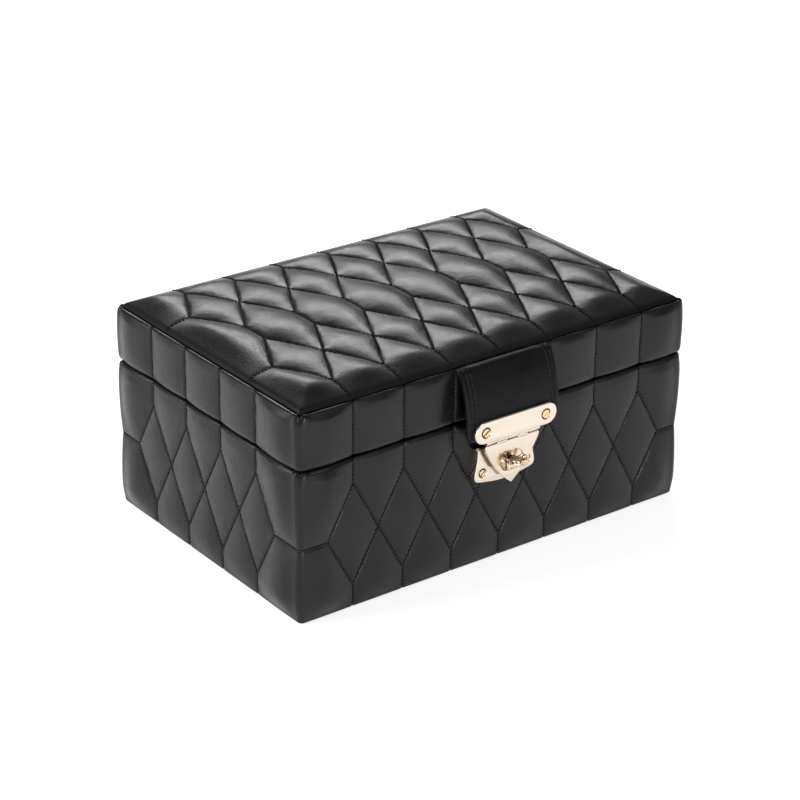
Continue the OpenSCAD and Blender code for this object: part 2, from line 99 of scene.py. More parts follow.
SIGNS = (-1, 1)

# ---------------------------------------------------------------- sizes in mm
HX, HY = 111.4, 75.2           # half sizes of the leather at the bottom of its seams
CORNER = 2.6                   # radius of the upright corners
SHIFT_X, SHIFT_Y = 1.2, 1.6    # the quilting sits a little off centre
PAD_INSET = 1.6                # the lid's pad stands in from the band by this
BACK_FLAT, BACK_FLAT_X = 73.1, 105.5   # the skin is pared down behind the hinge spine
BACK_ZONE = (65.4, 86.1)
HINGE_Y, HINGE_Z = 73.9, 75.75         # the line the lid turns about
GROOVE, GROOVE_WIDTH = 0.35, 0.5       # how far a seam is drawn in, and how wide
STEP = 27.9                    # quilting step along the front and back
STEP_SIDE = 28.5               # quilting step along the sides
STEPS_FRONT, STEPS_SIDE = 8, 5
Z_SEAM_LOW, Z_SEAM_HIGH = 11.9, 62.7
Z_BASE_BOTTOM, Z_BASE_TOP = 0.25, 75.1
Z_BAND_BOTTOM, Z_BAND_TOP = 76.2, 102.6
LATTICE = 52                   # grid cells in one quilting step
HALF = LATTICE // 2
CELL = 0.62                    # grid cells beside the quilting are about this wide
ARC = 12                       # grid cells round an upright corner

# Each face of the case in plan, front first and then anticlockwise: the way out, the way along,
# half its length, its quilting step, the number of steps and how far they are shifted.
FACES = (((0, -1), (1, 0), HX, STEP, STEPS_FRONT, SHIFT_X), ((1, 0), (0, 1), HY, STEP_SIDE, STEPS_SIDE, SHIFT_Y),
         ((0, 1), (-1, 0), HX, STEP, STEPS_FRONT, -SHIFT_X), ((-1, 0), (0, -1), HY, STEP_SIDE, STEPS_SIDE, -SHIFT_Y))


# ---------------------------------------------------------------- materials
def new_material(name):
    """A new material, its node tree and its surface node."""
    m = bpy.data.materials.new(name)
    m.use_nodes = True
    return m, m.node_tree, m.node_tree.nodes["Principled BSDF"]


def set_inputs(tree, node, values):
    """values gives each named input a number or colour, or another node's output."""
    for key, value in values.items():
        if isinstance(value, bpy.types.NodeSocket):
            tree.links.new(value, node.inputs[key])
        else:
            node.inputs[key].default_value = value


def add_node(tree, kind, output, values):
    node = tree.nodes.new("ShaderNode" + kind)
    set_inputs(tree, node, values)
    return node.outputs[output]


def noise(tree, coord, scale, detail, rough):
    return add_node(tree, "TexNoise", "Fac", {"Vector": coord, "Scale": scale, "Detail": detail, "Roughness": rough})


def ramp(tree, source, stops):
    """A colour ramp through stops = [(place, colour)]."""
    node = tree.nodes.new("ShaderNodeValToRGB")
    elements = node.color_ramp.elements
    for element, (place, colour) in zip(elements, (stops[0], stops[-1])):
        element.position = place
        element.color = (*colour, 1)
    for place, colour in stops[1:-1]:
        elements.new(place).color = (*colour, 1)
    tree.links.new(source, node.inputs["Fac"])
    return node.outputs["Color"]


def shades(tree, source, base, dark, light, lift=0.0):
    """The base colour varied from dark to light shares of itself."""
    return ramp(tree, source, [(0.3, tuple(c * dark for c in base)), (0.7, tuple(c * light + lift for c in base))])


def remap(tree, source, lo, hi, to_lo, to_hi):
    return add_node(tree, "MapRange", "Result",
                    {"Value": source, "From Min": lo, "From Max": hi, "To Min": to_lo, "To Max": to_hi})


def bump(tree, height, strength, distance, below=None):
    values = {"Strength": strength, "Distance": distance, "Height": height}
    if below is not None:
        values["Normal"] = below
    return add_node(tree, "Bump", "Normal", values)


def object_coord(tree):
    return add_node(tree, "TexCoord", "Object", {})


def leather_material(name, base, rough, grain, spec):
    """Grained leather. Beside the seams a point attribute turns its specular down: painted shade in the seams' grooves.
    """
    m, tree, surface = new_material(name)
    co = object_coord(tree)
    cells = tree.nodes.new("ShaderNodeTexVoronoi")
    cells.feature = "SMOOTH_F1"
    set_inputs(tree, cells, {"Scale": 1150, "Vector": co})
    wrinkle = noise(tree, co, 210, 4.0, 0.62)
    pores = bump(tree, cells.outputs["Distance"], grain, 0.0006)
    fine = bump(tree, noise(tree, co, 2600, 3.0, 0.6), grain * 0.6, 0.0003, pores)
    # painted shade: a point attribute turns the specular down beside the seams
    seam_shade = tree.nodes.new("ShaderNodeAttribute")
    seam_shade.attribute_name = "seam_shade"
    set_inputs(tree, surface, {
        "Normal": bump(tree, wrinkle, 0.05, 0.0008, fine),
        "Base Color": shades(tree, noise(tree, co, 38, 3.0, 0.5), base, 0.75, 1.25, 0.0015),
        "Roughness": remap(tree, wrinkle, 0.3, 0.7, rough - 0.04, rough + 0.05),
        "Specular IOR Level": remap(tree, seam_shade.outputs["Fac"], 0.0, 1.0, spec, spec * 0.42),
        "Specular Tint": (1.0, 0.95, 0.97, 1.0)})
    return m


def suede_material(name, base, sheen=0.35, rough=0.95, spec=0.15):
    m, tree, surface = new_material(name)
    co = object_coord(tree)
    set_inputs(tree, surface, {
        "Normal": bump(tree, noise(tree, co, 900, 4.0, 0.7), 0.35, 0.0006),
        "Base Color": shades(tree, noise(tree, co, 55, 3.0, 0.6), base, 0.72, 1.3),
        "Roughness": rough, "Specular IOR Level": spec, "Sheen Weight": sheen, "Sheen Roughness": 0.5})
    return m


def metal_material(name, base, rough, scratch=0.02):
    m, tree, surface = new_material(name)
    co = object_coord(tree)
    wear = noise(tree, co, 260, 4.0, 0.6)
    set_inputs(tree, surface, {
        "Normal": bump(tree, noise(tree, co, 1400, 2.0, 0.5), scratch, 0.0002),
        "Roughness": remap(tree, wear, 0.3, 0.75, rough, rough + 0.06),
        "Base Color": ramp(tree, wear, [(0.35, base), (0.75, tuple(c * 0.95 for c in base))]),
        "Metallic": 1.0})
    return m


def mirror_material():
    m, tree, surface = new_material("silvered_glass")
    set_inputs(tree, surface, {"Base Color": (0.9, 0.92, 0.92, 1), "Metallic": 1.0, "Roughness": 0.015})
    return m


LEATHER = leather_material("black_leather_skin", (0.0036, 0.0032, 0.0034), 0.34, 0.12, 0.3)
STRAP_LEATHER = leather_material("strap_leather_skin", (0.0042, 0.0038, 0.004), 0.42, 0.2, 0.14)
# the same black thread in two copies, painted shaded and lit: this darker, duller one keeps the stitching on the top
# dark, and the walls' lighter, shinier one makes theirs glint
DARKENED_THREAD = suede_material("black_thread_darkened", (0.0025, 0.0025, 0.0027), 0.0, 0.5, 0.16)
BRIGHTENED_WALL_THREAD = suede_material("wall_thread_brightened", (0.006, 0.006, 0.006), 0.0, 0.42, 0.28)
STRAP_THREAD = suede_material("strap_thread", (0.014, 0.014, 0.014), 0.0, 0.95, 0.45)
SUEDE = suede_material("charcoal_suede", (0.055, 0.052, 0.056))
SUEDE_ROLL = suede_material("charcoal_suede_rolls", (0.065, 0.061, 0.066), 0.45)
FELT = suede_material("black_felt", (0.02, 0.02, 0.021), 0.2)
GOLD = metal_material("pale_gold", (0.77, 0.67, 0.565), 0.15)
GOLD_KNOB = metal_material("pale_gold_knob", (0.80, 0.61, 0.40), 0.12, 0.03)
STEEL = metal_material("plain_steel", (0.55, 0.55, 0.56), 0.3)
MIRROR = mirror_material()


# ---------------------------------------------------------------- mesh helpers
def add_object(name, data):
    o = bpy.data.objects.new(name, data)
    bpy.context.scene.collection.objects.link(o)
    return o


def make_mesh(name, verts, faces, material, smooth=True):
    """A mesh object from points in mm and lists of corner numbers."""
    me = bpy.data.meshes.new(name)
    verts = np.asarray(verts, np.float32).reshape(-1, 3) * MM
    if isinstance(faces, np.ndarray):
        n, k = faces.shape
        me.vertices.add(len(verts))
        me.vertices.foreach_set("co", verts.ravel())
        me.loops.add(n * k)
        me.loops.foreach_set("vertex_index", faces.astype(np.int32).ravel())
        me.polygons.add(n)
        me.polygons.foreach_set("loop_start", np.arange(n, dtype=np.int32) * k)
        me.polygons.foreach_set("loop_total", np.full(n, k, np.int32))
        me.update(calc_edges=True)
        me.validate()
    else:
        me.from_pydata(verts.tolist(), [], faces)
        me.update()
    me.polygons.foreach_set("use_smooth", np.full(len(me.polygons), smooth))
    me.materials.append(material)
    return add_object(name, me)


def face_outward(me, weld=False):
    """Turns a mesh's faces outward, after joining points that lie on each other if asked."""
    bm = bmesh.new()
    bm.from_mesh(me)
    if weld:
        bmesh.ops.remove_doubles(bm, verts=bm.verts, dist=1e-6)
    bmesh.ops.recalc_face_normals(bm, faces=bm.faces)
    bm.to_mesh(me)
    bm.free()


def smooth_by_angle(o, degrees):
    me = o.data
    me.polygons.foreach_set("use_smooth", np.ones(len(me.polygons), bool))
    me.set_sharp_from_angle(angle=math.radians(degrees))


def bell(x, width):
    return np.exp(-(x / width) ** 2)


def rounding(x):
    """Height of a quarter circle at x = 0 to 1 from its edge."""
    return np.sqrt(np.clip(1 - (1 - np.clip(x, 0, 1)) ** 2, 0, 1))


def smooth_noise(shape, cells, seed, wrap_x=False):
    """Value noise over a grid: cells = (rows, columns) of random values, smoothly interpolated."""
    r = np.random.default_rng(seed)
    gy, gx = int(cells[0]) + 3, int(cells[1]) + 3
    g = r.random((gy, gx)) * 2 - 1
    if wrap_x:
        g[:, -3:] = g[:, :3]
    y = np.linspace(0, gy - 3.001, shape[0])
    x = np.linspace(0, gx - 3.001, shape[1])
    iy, ix = y.astype(int), x.astype(int)
    fy, fx = y - iy, x - ix
    fy, fx = fy * fy * (3 - 2 * fy), fx * fx * (3 - 2 * fx)
    a = g[iy][:, ix] * (1 - fx) + g[iy][:, ix + 1] * fx
    b = g[iy + 1][:, ix] * (1 - fx) + g[iy + 1][:, ix + 1] * fx
    return a * (1 - fy)[:, None] + b * fy[:, None]


def membrane(pinned, hu, hv, wrap):
    """Height of a skin pushed out evenly and held down where pinned: Poisson's equation, relaxed in red
    and black cells by turns. hu and hv are the widths of the columns and rows."""
    sweeps, omega = 420, 1.88
    phi = np.zeros(pinned.shape)
    wu = 1.0 / (hu * hu)[None, :]
    wv = 1.0 / (hv * hv)[:, None]
    total = 2 * wu + 2 * wv
    red = (np.add.outer(*map(np.arange, pinned.shape)) % 2).astype(bool)
    for _ in range(sweeps):
        for colour in (red, ~red):
            left = np.roll(phi, 1, 1)
            right = np.roll(phi, -1, 1)
            if not wrap:
                left[:, 0] = phi[:, 0]
                right[:, -1] = phi[:, -1]
            up = np.vstack([phi[1:], phi[-1:]])
            down = np.vstack([phi[:1], phi[:-1]])
            new = (wu * (left + right) + wv * (up + down) + 1.0) / total
            mask = colour & ~pinned
            phi[mask] += omega * (new[mask] - phi[mask])
    return phi


def seam_distance(pinned, hu, hv, wrap):
    """Distance in mm to the nearest seam point, right for a few cells and far beyond them."""
    reach, far = 12, 99.0
    d = np.where(pinned, 0.0, far)
    hu, hv = hu[None, :], hv[:, None]
    diagonal = np.sqrt(hu ** 2 + hv ** 2)
    blank = np.full((1, pinned.shape[1]), far)
    for _ in range(reach):
        for dx in (-1, 0, 1):
            s = np.roll(d, dx, 1)
            if dx and not wrap:
                s[:, 0 if dx == 1 else -1] = far
            for t, dy in ((np.vstack([s[1:], blank]), -1), (s, 0), (np.vstack([blank, s[:-1]]), 1)):
                if dx or dy:
                    d = np.minimum(d, t + (diagonal if dx and dy else hu if dx else hv))
    return d


def grid_faces(rows, cols, wrap, flip=None):
    """One quad for each cell of a grid, or two triangles where flip says which way the diagonal runs."""
    i = np.arange(rows - 1)[:, None] * cols
    last = cols if wrap else cols - 1
    j = np.arange(last)[None, :]
    a, b = i + j, i + (j + 1) % cols
    c, d = a + cols, b + cols
    if flip is None:
        return np.stack([a, b, d, c], -1).reshape(-1, 4)
    f = flip[: rows - 1, :last][..., None]
    t1 = np.where(f, np.stack([a, b, c], -1), np.stack([a, b, d], -1))
    t2 = np.where(f, np.stack([b, d, c], -1), np.stack([a, d, c], -1))
    return np.concatenate([t1.reshape(-1, 3), t2.reshape(-1, 3)])


def diagonals(pinned, side):
    """Which way each cell's diagonal runs: with a seam that crosses the cell, so that creases stay straight,
    and otherwise as side says."""
    beside = np.roll(pinned, -1, 1)
    flip = np.zeros(pinned.shape, bool)
    flip[:-1] = (beside[:-1] & pinned[1:]) | (~(pinned[:-1] & beside[1:]) & side[:-1])
    return flip


def tube(name, rings, material, capped=True):
    """A skin over rings of points in mm, all with the same number of points."""
    rings = np.asarray(rings, float)
    n, k = rings.shape[:2]
    faces = grid_faces(n, k, True).tolist()
    if capped:
        faces += [list(range(k)), list(range((n - 1) * k, n * k))[::-1]]
    o = make_mesh(name, rings, faces, material)
    face_outward(o.data)
    return o


# ---------------------------------------------------------------- the walls' outline
def lattice_span(step, steps, shift):
    """Places of the middles of the first and last quilting steps."""
    return -step * steps / 2 + step / 2 + shift, step * steps / 2 - step / 2 + shift


def wall_columns():
    """Columns once round the case, from the front left corner along the front. Each has a face number
    (0 to 3 as in FACES, 4 more for the corner after it), a place along it and a lattice number."""
    cols = []
    for face, (_, _, half, step, steps, shift) in enumerate(FACES):
        first, last = lattice_span(step, steps, shift)
        end = half - CORNER
        k = max(4, int(round((first + end) / CELL)))
        cols += [(face, -end + (first + end) * i / k, -1) for i in range(k)]
        m = (steps - 1) * LATTICE
        cols += [(face, first + (last - first) * i / m, i + HALF) for i in range(m + 1)]
        k = max(4, int(round((end - last) / CELL)))
        cols += [(face, last + (end - last) * i / k, steps * LATTICE + 1) for i in range(1, k + 1)]
        cols += [(4 + face, i / ARC, -2) for i in range(1, ARC)]
    return [np.array(c) for c in zip(*cols)]


FACE, PLACE, LAT = wall_columns()


def outline(offset):
    """Points and outward normals of every column at an inward offset from the seam plane, in mm."""
    r = max(CORNER - offset, 0.25)
    shift = offset - (CORNER - r)
    flat = np.array([HX, HY]) - CORNER
    centre = flat - shift
    p = np.zeros((len(FACE), 2))
    n = np.zeros((len(FACE), 2))
    for face, (out, along, *_) in enumerate(FACES):
        out, along = np.array(out), np.array(along)
        m = FACE == face
        n[m] = out
        p[m] = PLACE[m][:, None] * along * centre / flat + out * (centre + r)
        m = FACE == 4 + face
        a = np.radians(90 * (face - 1 + PLACE[m]))
        n[m] = np.stack([np.cos(a), np.sin(a)], 1)
        p[m] = (out + along) * centre + r * n[m]
    return p, n


P0, _ = outline(0.0)
gap = np.linalg.norm(np.roll(P0, -1, 0) - P0, axis=1)
HU = 0.5 * (gap + np.roll(gap, 1))     # the columns' widths


def from_corners(inset):
    """Distance in plan from each column to the nearest of four points inset from the outline's corners."""
    corners = [(sx * (HX - inset), sy * (HY - inset)) for sx in SIGNS for sy in SIGNS]
    return np.min([np.linalg.norm(P0 - c, axis=1) for c in corners], axis=0)


CORNERNESS = bell(from_corners(1.5), 8.5)    # 1 at an upright corner, 0 a little way along the faces
CORNER_DIST = from_corners(0.3 * CORNER)


def wall_profile(z0, z1, r0, r1, in0, in1, knots, lip_drop=0.0):
    """Rows from the lower inner edge, round the lower roll, up the wall and round the upper roll to its lip.
    Gives the offset, height, outward and upward shares of the normal for each row; knots = [(z, cells to it)].
    in0 and in1 are how far the edges reach in, and r0 and r1 the rolls' radii."""
    lip, roll, cell = 5, 8, 0.9
    rows = [(in0 + (r0 - in0) * i / lip, z0, 0.0, -1.0) for i in range(lip)]
    for i in range(roll):
        a = math.pi / 2 * i / roll
        rows.append((r0 - r0 * math.sin(a), z0 + r0 - r0 * math.cos(a), math.sin(a), -math.cos(a)))
    z = z0 + r0
    first_wall = len(rows)
    for target, cells in knots + [(z1 - r1, None)]:
        cells = cells or max(2, int(round((target - z) / cell)))
        rows += [(0.0, z + (target - z) * i / cells, 1.0, 0.0) for i in range(cells)]
        z = target
    for i in range(roll + 1):
        a = math.pi / 2 * i / roll
        rows.append((r1 - r1 * math.cos(a), z1 - r1 + r1 * math.sin(a), math.cos(a), math.sin(a)))
    rows += [(r1 + (in1 - r1) * i / lip, z1 - lip_drop * min(i, 2) / 2, 0.0, 1.0) for i in range(1, lip + 1)]
    return np.array(rows), first_wall


# ---------------------------------------------------------------- quilted skins
def paint_seam_shade(o, near):
    """Marks how near each point is to a seam, from its distance in mm, for leather_material to turn its specular down
    there: painted shade along the seams.
    """
    values = np.zeros(len(o.data.vertices), np.float32)
    values[: near.size] = np.exp(-(near.ravel() / 0.6) ** 1.4)
    o.data.attributes.new("seam_shade", "FLOAT", "POINT").data.foreach_set("value", values)


def creases(disp, near, crinkle, slow, middle, full):
    """Fine creases beside the seams, and slow and middling unevenness where the padding is full."""
    disp = disp + 0.17 * crinkle * np.exp(-near / 2.2) * (1 - bell(near, GROOVE_WIDTH))
    return disp + (slow + middle) * np.clip(disp / full, 0, 1)


def build_wall(name, rows, pinned, height, amount, seed):
    """The leather skin once round the case: seams pinned, the padding between them pushed out by height."""
    zs = rows[:, 1]
    seg = np.hypot(np.diff(rows[:, 0]), np.diff(zs))
    hv = np.concatenate([[seg[0]], 0.5 * (seg[1:] + seg[:-1]), [seg[-1]]])
    edge = pinned.copy()
    edge[0] = edge[-1] = True
    phi = membrane(edge, HU, hv, True)
    disp = height * np.clip(phi / np.percentile(phi, 98), 0, 1.25)
    near = seam_distance(pinned, HU, hv, True)
    tall, round_case = zs[-1] - zs[0], HU.sum()
    crinkle, slow, middle = [smooth_noise(pinned.shape, (tall / size, round_case / size), seed + i, True)
                             for i, size in enumerate((1.9, 14, 5))]
    disp = creases(disp, near, crinkle, 0.26 * slow, 0.06 * middle, height)
    disp = disp * (1 - 0.72 * CORNERNESS)[None, :]
    disp = disp * (1 - 0.8 * bell(zs, 6.0))[:, None]      # drawn tight round the bottom edge
    disp = disp * amount[:, None]
    disp = disp - GROOVE * bell(near, GROOVE_WIDTH)
    # the leather is gathered into a small dart at the top of each corner
    below = np.clip(zs[-1] - zs, 0, None)[:, None] + rows[:, 0][:, None] * 0.5
    dart = 0.55 * bell(CORNER_DIST - 2.3, 1.1) - 0.55 * bell(CORNER_DIST, 0.9)
    disp = disp + dart[None, :] * np.exp(-below / 3.2)
    verts = np.zeros((*pinned.shape, 3))
    normals = np.zeros((*pinned.shape, 3))
    for k, (offset, z, outward, upward) in enumerate(rows):
        p, n = outline(offset)
        normals[k, :, :2] = n * outward
        normals[k, :, 2] = upward
        verts[k, :, :2] = p
        verts[k, :, 2] = z
    verts += normals * disp[..., None]
    # behind the hinge spine the skin is pared flat, and at the back corners it stays clear of the other skin
    z = verts[..., 2]
    ease = np.clip(np.maximum(BACK_ZONE[0] - z, z - BACK_ZONE[1]) / 3.0, 0, 1) ** 1.5 * 5.0
    corner_y = HINGE_Y - 0.3 + 0.9 * np.clip(np.abs(z - HINGE_Z) - 0.6, 0, None)
    limit = np.where(np.abs(verts[..., 0]) < BACK_FLAT_X, BACK_FLAT, np.minimum(HY + 0.2, corner_y)) + ease
    verts[..., 1] = np.minimum(verts[..., 1], limit)
    flip = diagonals(pinned, smooth_noise(pinned.shape, (8, 60), 3, True) > 0)
    o = make_mesh(name, verts, grid_faces(*pinned.shape, True, flip), LEATHER)
    # painted shade: the specular is turned down beside the seams
    paint_seam_shade(o, near)
    return o, verts, normals


# ---------------------------------------------------------------- stitches
STITCH_SIDES = 6
# along each stitch: share of its length, height over the leather in mm, and width
STITCH_SHAPE = [(0.0, -0.3, 0.7), (0.12, 0.14, 0.95), (0.35, 0.4, 1.05), (0.65, 0.4, 1.05),
                (0.88, 0.14, 0.95), (1.0, -0.3, 0.7)]


def stitch(a, b, up, radius):
    """Points of one stitch from a to b in mm, its ends going down into the leather, or none if it has no length."""
    along = b - a
    length = np.linalg.norm(along)
    if length < 1e-6:
        return []
    along /= length
    up = up - along * (up @ along)
    up /= np.linalg.norm(up)
    side = np.cross(along, up)
    points = []
    for t, height, width in STITCH_SHAPE:
        centre = a + along * (t * length) + up * height
        for k in range(STITCH_SIDES):
            q = 2 * math.pi * k / STITCH_SIDES
            points.append(centre + radius * width * (side * math.cos(q) * 1.15 + up * math.sin(q)))
    return points


def stitch_run(store, points, ups, pitch=2.15, jitter=0.1, radius=0.34):
    """Adds to store the stitches along a line of points with an up direction at each."""
    fill, start = 0.84, 0.3
    points, ups = np.asarray(points, float), np.asarray(ups, float)
    s = np.concatenate([[0], np.cumsum(np.linalg.norm(np.diff(points, axis=0), axis=1))])
    room = s[-1] - 2 * start
    n = max(1, int(round(room / pitch)))
    real = room / n

    def at(t, values):
        return np.array([np.interp(min(max(t, 0), s[-1]), s, values[:, k]) for k in range(3)])

    for i in range(n):
        t0 = start + i * real + real * (1 - fill) / 2
        a, b, up = at(t0, points), at(t0 + real * fill, points), at(t0, ups)
        w = np.cross(b - a, up)
        w /= max(np.linalg.norm(w), 1e-9)
        j = (rng.random(2) - 0.5) * jitter * 2
        store += stitch(a + w * j[0], b + w * j[1], up, radius)


def thread_object(name, store, material=DARKENED_THREAD):
    size = STITCH_SIDES * len(STITCH_SHAPE)
    one = grid_faces(len(STITCH_SHAPE), STITCH_SIDES, True)
    faces = (one[None] + size * np.arange(len(store) // size)[:, None, None]).reshape(-1, 4)
    return make_mesh(name, np.array(store), faces, material)


# ---------------------------------------------------------------- where the seams run
def seam_cells(lat, row, steps):
    """Which of a row's cells a seam crosses. lat is each cell's lattice number, and row is how far up the
    diamonds the row lies in cells, or -1 where the seams run straight."""
    if row < 0:
        return np.isin(lat, np.arange(1, steps) * LATTICE)
    tips = np.arange(steps + 1) * LATTICE
    inside = (lat >= HALF) & (lat <= steps * LATTICE - HALF)
    cells = inside & np.isin(lat, np.concatenate([tips + row, tips - row]))
    if row == HALF:
        cells |= (lat < 0) | (lat > steps * LATTICE)
    return cells


def wall_pins(row_lat):
    """Where the seams hold the walls down. row_lat is each row's place in the diamonds, as seam_cells has it."""
    pins = np.zeros((len(row_lat), len(FACE)), bool)
    for r, row in enumerate(row_lat):
        for face, (*_, steps, _) in enumerate(FACES):
            pins[r] |= (FACE == face) & seam_cells(LAT, row, steps)
        if row == HALF:
            pins[r] |= FACE >= 4
    return pins


def lattice_index(lat, steps):
    """The grid column of each lattice number."""
    return {int(v): i for i, v in lat if 0 <= v <= steps * LATTICE}


def upright(column, low, high):
    return [(r, column) for r in range(low, high)]


def diamond_lines(at, i, r0, r1):
    """The slanting seams up from the i-th seam at row r0, and those down from row r1 that stop at an edge."""
    lines = []
    for sign in SIGNS:
        columns = [(k, at[i * LATTICE + sign * k]) for k in range(LATTICE + 1) if i * LATTICE + sign * k in at]
        lines.append([(r0 + k, c) for k, c in columns])
        if len(columns) < LATTICE:
            lines.append([(r1 - k, c) for k, c in columns])
    return lines


def sew(lines, verts, normals):
    """Stitches along lines of grid points."""
    store = []
    for line in lines:
        r, c = np.array(line).T
        stitch_run(store, verts[r, c], normals[r, c])
    return store


def wall_seams(low, high, diamonds=None):
    """Lines of grid points along every seam of a wall. diamonds = the first and last rows of the diamonds."""
    lines = []
    ends = []
    for face, (*_, steps, _) in enumerate(FACES):
        own = np.nonzero(FACE == face)[0]
        at = lattice_index(zip(own, LAT[own]), steps)
        ends.append((at[HALF], at[steps * LATTICE - HALF]))
        for i in range(1, steps):
            c = at[i * LATTICE]
            if diamonds is None:
                lines.append(upright(c, low, high + 1))
                continue
            r0, r1 = diamonds
            lines += [upright(c, low, r0 + 1), upright(c, r1, high + 1)] + diamond_lines(at, i, r0, r1)
    if diamonds is not None:
        middle = sum(diamonds) // 2
        total = len(FACE)
        for face, (_, a) in enumerate(ends):
            b = ends[(face + 1) % 4][0]
            lines.append([(middle, c % total) for c in range(a, (b if b > a else b + total) + 1)])
    return lines


def build_base_walls():
    cells_below = 11
    rows, first = wall_profile(Z_BASE_BOTTOM, Z_BASE_TOP, 1.3, 1.6, 6.5, 6.9,
                               [(Z_SEAM_LOW, cells_below), (Z_SEAM_HIGH, LATTICE)])
    low = first + cells_below
    row_lat = np.full(len(rows), -1)
    row_lat[low: low + LATTICE + 1] = np.arange(LATTICE + 1)
    amount = np.clip((7.5 - rows[:, 0]) / 7.5, 0.15, 1)
    amount = amount * np.interp(rows[:, 1], [Z_BASE_BOTTOM, 1.0, 4, 70, Z_BASE_TOP], [0.1, 0.45, 1, 1, 0.6])
    o, verts, normals = build_wall("base_quilted_leather", rows, wall_pins(row_lat), 3.9, amount, 21)
    lines = wall_seams(first - 2, len(rows) - 9, (low, low + LATTICE))
    return o, thread_object("base_seam_stitching", sew(lines, verts, normals), BRIGHTENED_WALL_THREAD)


def build_lid_band():
    rows, first = wall_profile(Z_BAND_BOTTOM, Z_BAND_TOP, 1.6, 0.95, 6.3, 3.0, [], 1.5)
    amount = np.clip((7.0 - rows[:, 0]) / 7.0, 0.15, 1)
    amount = amount * np.interp(rows[:, 1], [Z_BAND_BOTTOM, 79, 99.5, Z_BAND_TOP], [0.6, 1, 1, 0.35])
    o, verts, normals = build_wall("lid_band_quilted_leather", rows, wall_pins(np.full(len(rows), -1)), 3.5, amount, 51)
    lines = wall_seams(first - 4, len(rows) - 7)
    return o, thread_object("lid_band_stitching", sew(lines, verts, normals), BRIGHTENED_WALL_THREAD)


# ---------------------------------------------------------------- lid top
DIAMONDS = (-59.6, -6.4, 9.7, 60.1)    # where the two rows of diamonds start and end in Y
TOP_ROWS = (22, LATTICE, 18, LATTICE, 19)   # grid rows before, in, between, in and after them
TOP_MARGIN = 22                        # grid columns at either side of the quilting


def pad_height(x_edge, y_edge):
    """Height of the bevelled pillow under the quilting, and the distance in from the pad's edge."""
    soft = 1.1
    h = np.clip(0.5 + 0.5 * (y_edge - x_edge) / soft, 0, 1)
    blended = y_edge * (1 - h) + x_edge * h - soft * h * (1 - h) * 0.5
    e = np.clip(np.minimum(np.minimum(x_edge, y_edge), blended), 0, None)
    z = 1.5 * (1 - np.exp(-e / 0.6)) + 4.1 * (1 - np.exp(-e / 9.5))
    for _ in range(2):
        z[1:-1, 1:-1] = 0.5 * z[1:-1, 1:-1] + 0.125 * (z[2:, 1:-1] + z[:-2, 1:-1] + z[1:-1, 2:] + z[1:-1, :-2])
    return z, e


